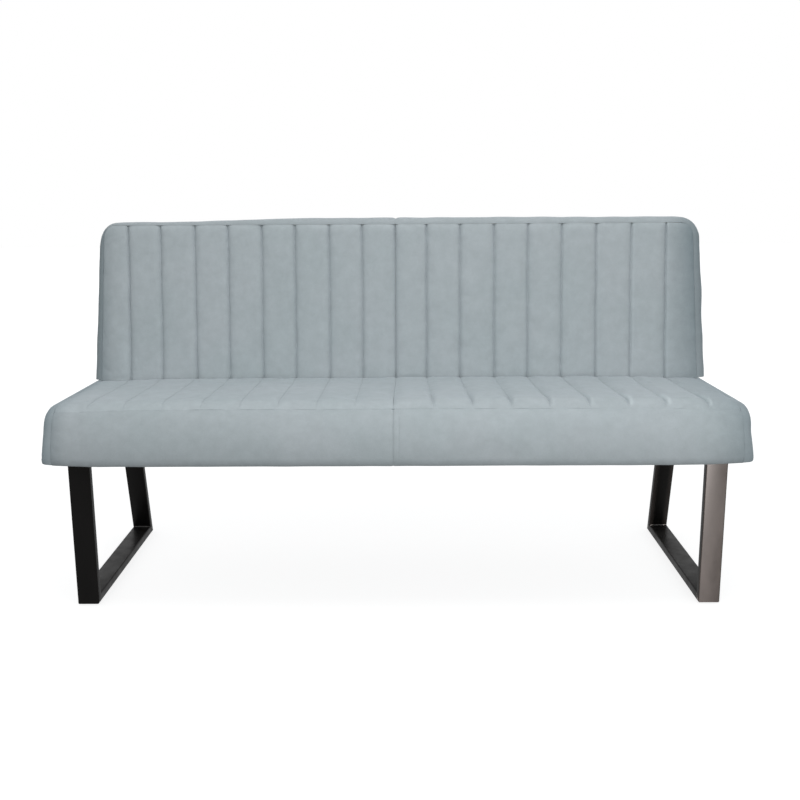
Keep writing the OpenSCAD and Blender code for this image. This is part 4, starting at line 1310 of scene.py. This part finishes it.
def dust_cover():
    """The sheet under the seat, flat over the leg plates and slack between them."""
    low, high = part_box("dust_cover")
    x = spaced(low.x, high.x, 14 * mm)[None, :]
    y = spaced(low.y, high.y, 12 * mm)[:, None]
    edge = np.minimum(np.minimum(x - low.x, high.x - x), np.minimum(y - low.y, high.y - y))
    sag = sheet_sag * soft_step(edge, 20 * mm, 160 * mm) * (np.abs(x) < plate_in_x - 18 * mm)
    rucks = 0.5 * mm * gathers(x, y * 0.35, 60 * mm, 200, edge, 70 * mm, 25 * mm)
    slack_z = np.minimum(high.z - 0.1 * mm, low.z + 0.3 * mm - sag + rucks)
    on_plate = soft_step(np.abs(x), plate_in_x - 48 * mm, plate_in_x - 8 * mm)
    outer = spot(x, y, slack_z * (1 - on_plate) + (low.z + 0.1 * mm) * on_plate)
    inner = outer + np.array([0, 0, sheet_t])
    piece = panel("dust_cover_sheet", outer, inner, dust_cloth())
    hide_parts("dust_cover")
    print("dust cover", round(high.x - low.x, 3), "by", round(high.y - low.y, 3), "m")


dust_cover()

# %% [markdown]
# ## Steel legs
#
# Each leg is a loop of rectangular tube with mitred corners, closed at the top by a plate that is
# bolted under the seat. A plain box would have razor edges, while drawn tube has rounded ones that
# catch the light. So a rounded section is swept along each length and cut at the mitre planes.
# The powder coat is black and nearly matt, with the fine dimples that such a coat dries with.

# %% Powder coat
def powder_coat():
    """Black coat with fine dimples, and faint smears that change its gloss."""
    material, add = finish("leg_coating", 0.42, Specular_IOR_Level=0.07)
    peel = noise(add, place(add), 1.6 * mm, 2.0, 0.55)
    smears = noise(add, place(add, (1, 1, 0.35)), 50 * mm, 4.0, 0.6)
    colour = two_tones(add, smears, (0.0045, 0.0041, 0.0038), (0.008, 0.0073, 0.0069))
    return dressed(material, colour, between(add, smears, 0.36, 0.5), bump(add, peel, 0.06 * mm, 0.5))


coating = powder_coat()
print("leg finish", coating.name)

# %% Tube sizes
leg_in_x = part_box("leg_front_post_right")[0].x
leg_out_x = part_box("leg_front_post_right")[1].x
leg_front_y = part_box("leg_front_post_right")[0].y
heel_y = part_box("leg_floor_rail_right")[1].y
leg_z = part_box("leg_floor_rail_right")[0].z
plate_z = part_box("leg_top_plate_right")[0].z
rear_top_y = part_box("leg_top_plate_right")[1].y
tube_w = leg_out_x - leg_in_x
leg_x = (leg_out_x + leg_in_x) / 2
tube_d = 20 * mm
tube_wall = 2 * mm
tube_r = 3 * mm
bore_r = 1.4 * mm
lean = math.atan((heel_y - rear_top_y) / (plate_z - leg_z))
print("legs lean", round(math.degrees(lean), 1), "degrees")

# %% Tubes
def tube_section(inset, r, steps=5):
    """Rounded rectangle in tube coordinates: across, and in from the outer face."""
    side = tube_w / 2 - inset - r
    near = inset + r
    far = tube_d - inset - r
    section = []
    for across, depth, start in ((side, near, -90), (side, far, 0), (-side, far, 90), (-side, near, 180)):
        for k in range(steps + 1):
            angle = math.radians(start + 90 * k / steps)
            section.append((across + r * math.cos(angle), depth + r * math.sin(angle)))
    return section


def cut(point, heading, line_point, line_heading):
    """Way along heading from point to a cutting line, all in depth and height."""
    det = heading[0] * -line_heading[1] + line_heading[0] * heading[1]
    dy = line_point[0] - point[0]
    dz = line_point[1] - point[1]
    return (dy * -line_heading[1] + line_heading[0] * dz) / det


def tube_end(section, origin, heading, inward, mitre):
    """The section's points moved along the tube to a mitre."""
    made = []
    for across, depth in section:
        y = origin[0] + inward[0] * depth
        z = origin[1] + inward[1] * depth
        t = cut((y, z), heading, *mitre)
        made.append((leg_x + across, y + heading[0] * t, z + heading[1] * t))
    return made


def leg_tube(name, hand, origin, heading, inward, cuts):
    """A hollow length of tube from its outer face's origin, cut at both ends."""
    sections = [tube_section(0, tube_r), tube_section(tube_wall, bore_r)]
    rings = np.array([tube_end(s, origin, heading, inward, mitre) for s in sections for mitre in cuts])
    count = rings.shape[1]
    index = looped(np.arange(4 * count).reshape(4, count))
    faces = np.concatenate([grid_faces(index[pair]) for pair in ([0, 1], [3, 2], [2, 0], [1, 3])])
    points = rings.reshape(-1, 3)
    if volume_of(points, faces) < 0:
        faces = faces[:, ::-1]
    side = sides[hand]
    piece = mesh_piece(f"{name}_{hand}", handed(points, side), faces[:, ::side], coating, 40)
    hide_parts(f"leg_{name}_{hand}")


# %% Legs
front_corner = (leg_front_y, leg_z)
rear_corner = (heel_y, leg_z)
lean_heading = (-math.sin(lean), math.cos(lean))
lean_inward = (-math.cos(lean), -math.sin(lean))
bisector = (lean_heading[0] - 1, lean_heading[1])
front_mitre = (front_corner, (1, 1))
rear_mitre = (rear_corner, bisector)
top_cut = ((0, plate_z), (1, 0))

for hand in sides:
    leg_tube("front_post", hand, front_corner, (0, 1), (1, 0), [front_mitre, top_cut])
    leg_tube("floor_rail", hand, front_corner, (1, 0), (0, 1), [front_mitre, rear_mitre])
    leg_tube("rear_post", hand, rear_corner, lean_heading, lean_inward, [rear_mitre, top_cut])
print("tubes", 3 * len(sides), "of", round(tube_w / mm), "by", round(tube_d / mm), "mm")

# %% [markdown]
# ## Welds
#
# The tubes are welded at the mitres and to the top plate. On the outside the bead is ground flush.
# Inside the corners it stays, as a row of small overlapping scales. A tube swept along the joint,
# whose radius swells once for each scale, gives that. A bead is smoother than the tube, and its
# colour is painted paler as a highlight, so it gets a finish of its own.

# %% Bead coating with painted highlight
def bead_with_painted_highlight():
    """Coat over a weld: smoother than the coat on the tube, and painted paler as a highlight."""
    material, add = finish("bead_painted_highlight", 0.3)
    scales = noise(add, place(add), 3 * mm, 2.0, 0.6)
    # Paler colour: a painted highlight.
    colour = two_tones(add, scales, (0.03, 0.028, 0.026), (0.09, 0.085, 0.08))
    return dressed(material, colour, between(add, scales, 0.24, 0.4), bump(add, scales, 0.1 * mm))


bead = bead_with_painted_highlight()
print("bead finish", bead.name)

# %% Weld beads
bead_scale = 3.4 * mm
bead_reach = 2.5 * mm
corner_bead_r = 2.0 * mm
plate_bead_r = 2.2 * mm
mitre_bead_r = 0.5 * mm
round_ten = np.linspace(0, full_turn, 11)[:-1]
front_inner = (leg_front_y + tube_d, leg_z + tube_d)
rear_share = (tube_d + leg_z - rear_corner[1]) / bisector[1]
rear_inner = (rear_corner[0] + bisector[0] * rear_share, leg_z + tube_d)
rear_front_y = rear_top_y - tube_d / math.cos(lean)


def weld(start, end, r):
    """Points and faces of a bead between two points."""
    start, end = np.array(start), np.array(end)
    length = np.linalg.norm(end - start)
    t = np.linspace(0, 1, max(8, int(length / (0.6 * mm))))
    ripple = 0.82 + 0.18 * np.abs(np.sin(math.pi * t * length / bead_scale))
    taper = np.sqrt(np.clip(1 - np.abs(2 * t - 1) ** 14, 0, 1))
    onward = (end - start) / length
    beside = np.cross(onward, (0.3, 0.5, 0.8))
    beside /= np.linalg.norm(beside)
    other = np.cross(onward, beside)
    around = np.stack([math.cos(a) * beside + math.sin(a) * other for a in round_ten])
    centre = start + (end - start) * t[:, None]
    return ring_body(centre[:, None] + (r * ripple * taper)[:, None, None] * around[None])


def leg_welds(hand):
    """All beads of one leg as one mesh; the number of beads is given back."""
    across = [(*front_inner, corner_bead_r), (*rear_inner, corner_bead_r),
              (leg_front_y + tube_d, plate_z, plate_bead_r), (rear_front_y, plate_z, plate_bead_r)]
    beads = [weld((leg_in_x + bead_reach, y, z), (leg_out_x - bead_reach, y, z), r) for y, z, r in across]
    for x in (leg_in_x, leg_out_x):
        for outer, inner, way in ((front_corner, front_inner, 1), (rear_corner, rear_inner, -1)):
            start = (x, outer[0] + way * bead_reach, outer[1] + bead_reach)
            end = (x, inner[0] - way * bead_reach, inner[1] - bead_reach)
            beads.append(weld(start, end, mitre_bead_r))
    points, faces = merged(beads)
    side = sides[hand]
    faces = [f[::side] for f in faces]
    mesh_piece(f"leg_welds_{hand}", handed(points, side), faces, bead)
    return len(beads)


print("beads", [leg_welds(hand) for hand in sides])

# %% [markdown]
# ## Floor glides
#
# Each leg stands on two nylon discs, so that the steel doesn't mark the floor. A disc is turned from
# a short profile with soft edges.

# %% Floor glides
glide_low, glide_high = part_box("floor_glides")
glide_r = 9 * mm
glide_profile = [(glide_r - 1.6 * mm, 0), (glide_r - 0.7 * mm, 0.2 * mm), (glide_r - 0.1 * mm, 0.8 * mm),
                 (glide_r, 1.4 * mm), (glide_r, leg_z - 0.2 * mm), (glide_r - 0.2 * mm, leg_z)]


def glide_plastic():
    """Black moulded nylon."""
    material, add = finish("glide_plastic", 0.55)
    grain = noise(add, place(add), 0.9 * mm)
    colour = blend_colour(add, grain, (0.012, 0.012, 0.012, 1), (0.022, 0.022, 0.022, 1))
    return dressed(material, colour, between(add, grain, 0.48, 0.62), bump(add, grain, 0.05 * mm))


def glide(x, y, steps=36):
    """Points and faces of the profile turned round a vertical line."""
    turns = np.linspace(0, full_turn, steps + 1)[:-1]
    rings = [spot(x + r * np.cos(turns), y + r * np.sin(turns), z) for r, z in glide_profile]
    return ring_body(np.stack(rings))


glide_ys = (glide_low.y + glide_r, glide_high.y - glide_r)
glide_places = [(side * leg_x, y) for side in sides.values() for y in glide_ys]
points, faces = merged([glide(x, y) for x, y in glide_places])
glides = mesh_piece("glide_discs", points, faces, glide_plastic(), 50)
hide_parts("floor_glides")
print("glides", len(glide_places))

# %% [markdown]
# ## Finishes of the inner frame
#
# The pieces inside the cover come straight from the frame, and only need their finish. Timber has
# grain stretched along each board, plywood shows its layers, foam its open cells. They are made by
# one small function each, and a table says which piece gets which.

# %% Wood finishes
def timber(name, long_axis, dark, light):
    """Softwood whose rings and fibres run along one axis."""
    material, add = finish(name, 0.7)
    stretch = [1, 1, 1]
    stretch[long_axis] = 0.06
    where = place(add, stretch)
    warp = noise(add, where, 50 * mm, 3.0)
    rings = bands(add, where, "Z", 28, 9, Detail=3.0)
    fibre = noise(add, where, 1.6 * mm, 3.0, 0.7)
    tone = blend_colour(add, rings, (*light, 1), (*dark, 1))
    colour = shaded(add, tone, between(add, warp, 0, 1), 0.92, 1.04)
    return dressed(material, colour, between(add, fibre, 0.6, 0.8), bump(add, fibre, 0.12 * mm))


def layered_plywood():
    """Plywood: pale faces, and thin dark lines of glue between its layers."""
    material, add = finish("plywood", 0.65)
    layers = bands(add, place(add), "X", 105, 0.3)
    grain = noise(add, place(add, (1, 1, 0.1)), 4 * mm, 4.0, 0.6)
    face = two_tones(add, grain, (0.6, 0.44, 0.26), (0.72, 0.56, 0.36))
    glue = between(add, layers, 0, 0.35, 0.45, 0.6)
    colour = blend_colour(add, glue, face, (0.3, 0.19, 0.1, 1))
    return dressed(material, colour, between(add, grain, 0.55, 0.75), bump(add, grain, 0.1 * mm))


# %% Finishes of foam, webbing and steel
def pressed(name, low, high, size, roughness, height):
    """A finish of two near tones in fine noise: foam cells, felt, hardboard."""
    material, add = finish(name, roughness)
    where = place(add)
    pores = cells(add, where, size)
    colour = two_tones(add, noise(add, where, size * 12, 4.0, 0.6), low, high)
    gloss = between(add, pores, roughness - 0.1, roughness)
    return dressed(material, colour, gloss, bump(add, pores, height))


def ribbed_webbing():
    """Black elastic webbing with paler stripes."""
    material, add = finish("webbing", 0.8)
    weave = bands(add, place(add), "Y", 160, 0.2)
    stripes = bands(add, place(add), "X", 52, 0)
    colour = blend_colour(add, stripes, (0.015, 0.015, 0.016, 1), (0.05, 0.05, 0.052, 1))
    return dressed(material, colour, between(add, weave, 0.7, 0.9, 0, 1), bump(add, weave, 0.3 * mm))


def plated(name, colour, roughness):
    """Plated steel with a faint brushed grain."""
    material, add = finish(name, roughness, 1.0)
    grain = noise(add, place(add, (1, 1, 0.2)), 0.8 * mm, 3.0, 0.7)
    tint = blend_colour(add, grain, (*(0.85 * c for c in colour), 1), (*colour, 1))
    gloss = between(add, grain, roughness - 0.08, roughness + 0.08)
    return dressed(material, tint, gloss, bump(add, grain, 0.02 * mm))


# %% Give each carried-over piece its finish
pine_dark = (0.42, 0.25, 0.11)
pine_light = (0.66, 0.47, 0.27)
long_pine = timber("frame_timber_long", 0, pine_dark, pine_light)
cross_pine = timber("frame_timber_cross", 1, pine_dark, pine_light)
foam = pressed("foam", (0.72, 0.63, 0.4), (0.82, 0.74, 0.5), 2.2 * mm, 0.95, 0.5 * mm)
felt = pressed("felt", (0.12, 0.12, 0.13), (0.22, 0.22, 0.23), 1.2 * mm, 0.95, 0.3 * mm)
hardboard = pressed("hardboard", (0.2, 0.1, 0.045), (0.29, 0.155, 0.07), 1.6 * mm, 0.8, 0.1 * mm)
zinc = plated("zinc_steel", (0.62, 0.62, 0.6), 0.32)
inner_finishes = {
    long_pine: ["seat_front_rail", "seat_middle_rail", "seat_rear_rail", "back_top_rail", "back_lower_rails"],
    cross_pine: ["seat_end_rail_left", "seat_end_rail_right", "seat_cross_rails"],
    layered_plywood(): [f"back_{kind}_rib_{hand}" for kind in ("end", "inner") for hand in sides],
    foam: ["seat_foam", "back_foam"],
    felt: ["seat_felt"],
    hardboard: ["rear_board"],
    ribbed_webbing(): ["seat_webbing", "back_webbing"],
    zinc: ["frame_screws", "rib_bolts", "rib_washers", "rib_nuts", "leg_tee_nuts", "dust_cover_staples"],
    plated("black_steel", (0.03, 0.03, 0.032), 0.4): ["leg_bolts", "leg_washers"],
    coating: ["leg_top_plate_left", "leg_top_plate_right"],
}
for material, names in inner_finishes.items():
    for name in names:
        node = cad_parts[name]
        node.data.materials.clear()
        node.data.materials.append(material)
shown = [name for name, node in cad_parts.items() if not node.hide_render]
plain = sorted(set(shown) - set(sum(inner_finishes.values(), [])))
print("carried over", len(shown), "nodes, without a finish:", plain)

# %% [markdown]
# ## Floor and light
#
# The photograph has a plain white ground and very even light. Most of it comes from all round, so
# the world is the main lamp, a touch blue. One soft light above the seat and two in front only lift
# the seat, the backrest and the right end of the nose. Nothing here is bright enough to bleach the
# fabric: the ground is white for the camera alone, because its material adds light where a camera,
# a mirror or a glass ray meets it.
#
# The photograph also shows a pale glare on the front of the right leg. A low strip light makes it,
# and light linking keeps that lamp off every other piece.

# %% Floor
floor_half = 14
glow_near = 0.84
glow_far = 0.94
glow_from = 1.2
glow_to = 3.5


def seen_directly(add):
    """1 for rays from the camera, from gloss and through glass, and 0 for the light itself."""
    path = add("LightPath").outputs
    first = maths(add, "MAXIMUM", path["Is Camera Ray"], path["Is Glossy Ray"])
    return maths(add, "MAXIMUM", first, path["Is Transmission Ray"])


def pale_floor():
    """Grey for the light, and white where it is seen directly, fully so away from the bench."""
    material, add = finish("floor", 0.9, Base_Color=(0.3, 0.3, 0.3, 1), Specular_IOR_Level=0.0)
    tree = material.node_tree
    plain_shader = tree.nodes["Principled BSDF"].outputs[0]
    far = add("VectorMath", {"operation": "LENGTH"}, i0=add("TexCoord").outputs["Object"]).outputs["Value"]
    strength = between(add, far, glow_near, glow_far, glow_from, glow_to)
    glow = add("Emission", Color=(1, 1, 1, 1), Strength=strength)
    both = add("AddShader", i0=plain_shader, i1=glow.outputs[0])
    chosen = add("MixShader", i0=seen_directly(add), i1=plain_shader, i2=both.outputs[0])
    tree.links.new(chosen.outputs[0], tree.nodes["Material Output"].inputs["Surface"])
    return material


corners = [(-floor_half, -floor_half, 0), (floor_half, -floor_half, 0),
           (floor_half, floor_half, 0), (-floor_half, floor_half, 0)]
floor_mesh = bpy.data.meshes.new("floor")
floor_mesh.from_pydata(corners, [], [(0, 1, 2, 3)])
floor_mesh.materials.append(pale_floor())
floor = bpy.data.objects.new("floor", floor_mesh)
scene.collection.objects.link(floor)
print("floor", 2 * floor_half, "m square")

# %% World
sky_tint = (0.96, 0.985, 1.0, 1)
sky_strength = 0.68
world = bpy.data.worlds.new("studio")
scene.world = world
world.use_nodes = True
sky = world.node_tree
add = adder(sky)
soft_light = sky.nodes["Background"]
soft_light.inputs["Color"].default_value = sky_tint
soft_light.inputs["Strength"].default_value = sky_strength
white = add("Background", Color=(1, 1, 1, 1), Strength=1.0)
chosen = add("MixShader", i0=seen_directly(add), i1=soft_light.outputs[0], i2=white.outputs[0])
sky.links.new(chosen.outputs[0], sky.nodes["World Output"].inputs["Surface"])
print("world strength", sky_strength)

# %% Lamps
def softbox(name, lamp_at, target, size, power, tint=(1, 1, 1)):
    """A rectangular studio light aimed at a point."""
    lamp = bpy.data.lights.new(name, "AREA")
    lamp.shape = "RECTANGLE"
    lamp.size = size[0]
    lamp.size_y = size[1]
    lamp.energy = power
    lamp.color = tint
    made = bpy.data.objects.new(name, lamp)
    scene.collection.objects.link(made)
    made.location = lamp_at
    made.rotation_euler = (Vector(target) - Vector(lamp_at)).to_track_quat("-Z", "Y").to_euler()
    return made


softbox("overhead", (0.1, -0.9, 2.5), (0.1, -0.15, 0.45), size=(0.8, 0.6), power=15)
softbox("front_left", (-1.0, -3.6, 2.4), (-0.2, 0.2, 0.75), size=(1.2, 1.0), power=16)
softbox("front_right", (1.3, -2.6, 0.75), (0.2, -0.1, 0.5), size=(0.9, 0.6), power=11)
leg_strip = softbox("leg_strip", (0.74, -2.6, 0.12), (leg_x, leg_front_y, 0.14),
                    size=(0.2, 0.2), power=620, tint=(1.0, 0.9, 0.86))
right_leg = bpy.data.collections.new("right_leg")
for name in ("front_post_right", "floor_rail_right", "rear_post_right", "leg_welds_right"):
    right_leg.objects.link(bpy.data.objects[name])
leg_strip.light_linking.receiver_collection = right_leg
scene.view_settings.view_transform = "Standard"

# %% [markdown]
# ## Finish
#
# The dressed bench may stand only a little proud of the CAD box. The scene is updated at the end.

# %% Update the scene
bpy.context.view_layer.update()
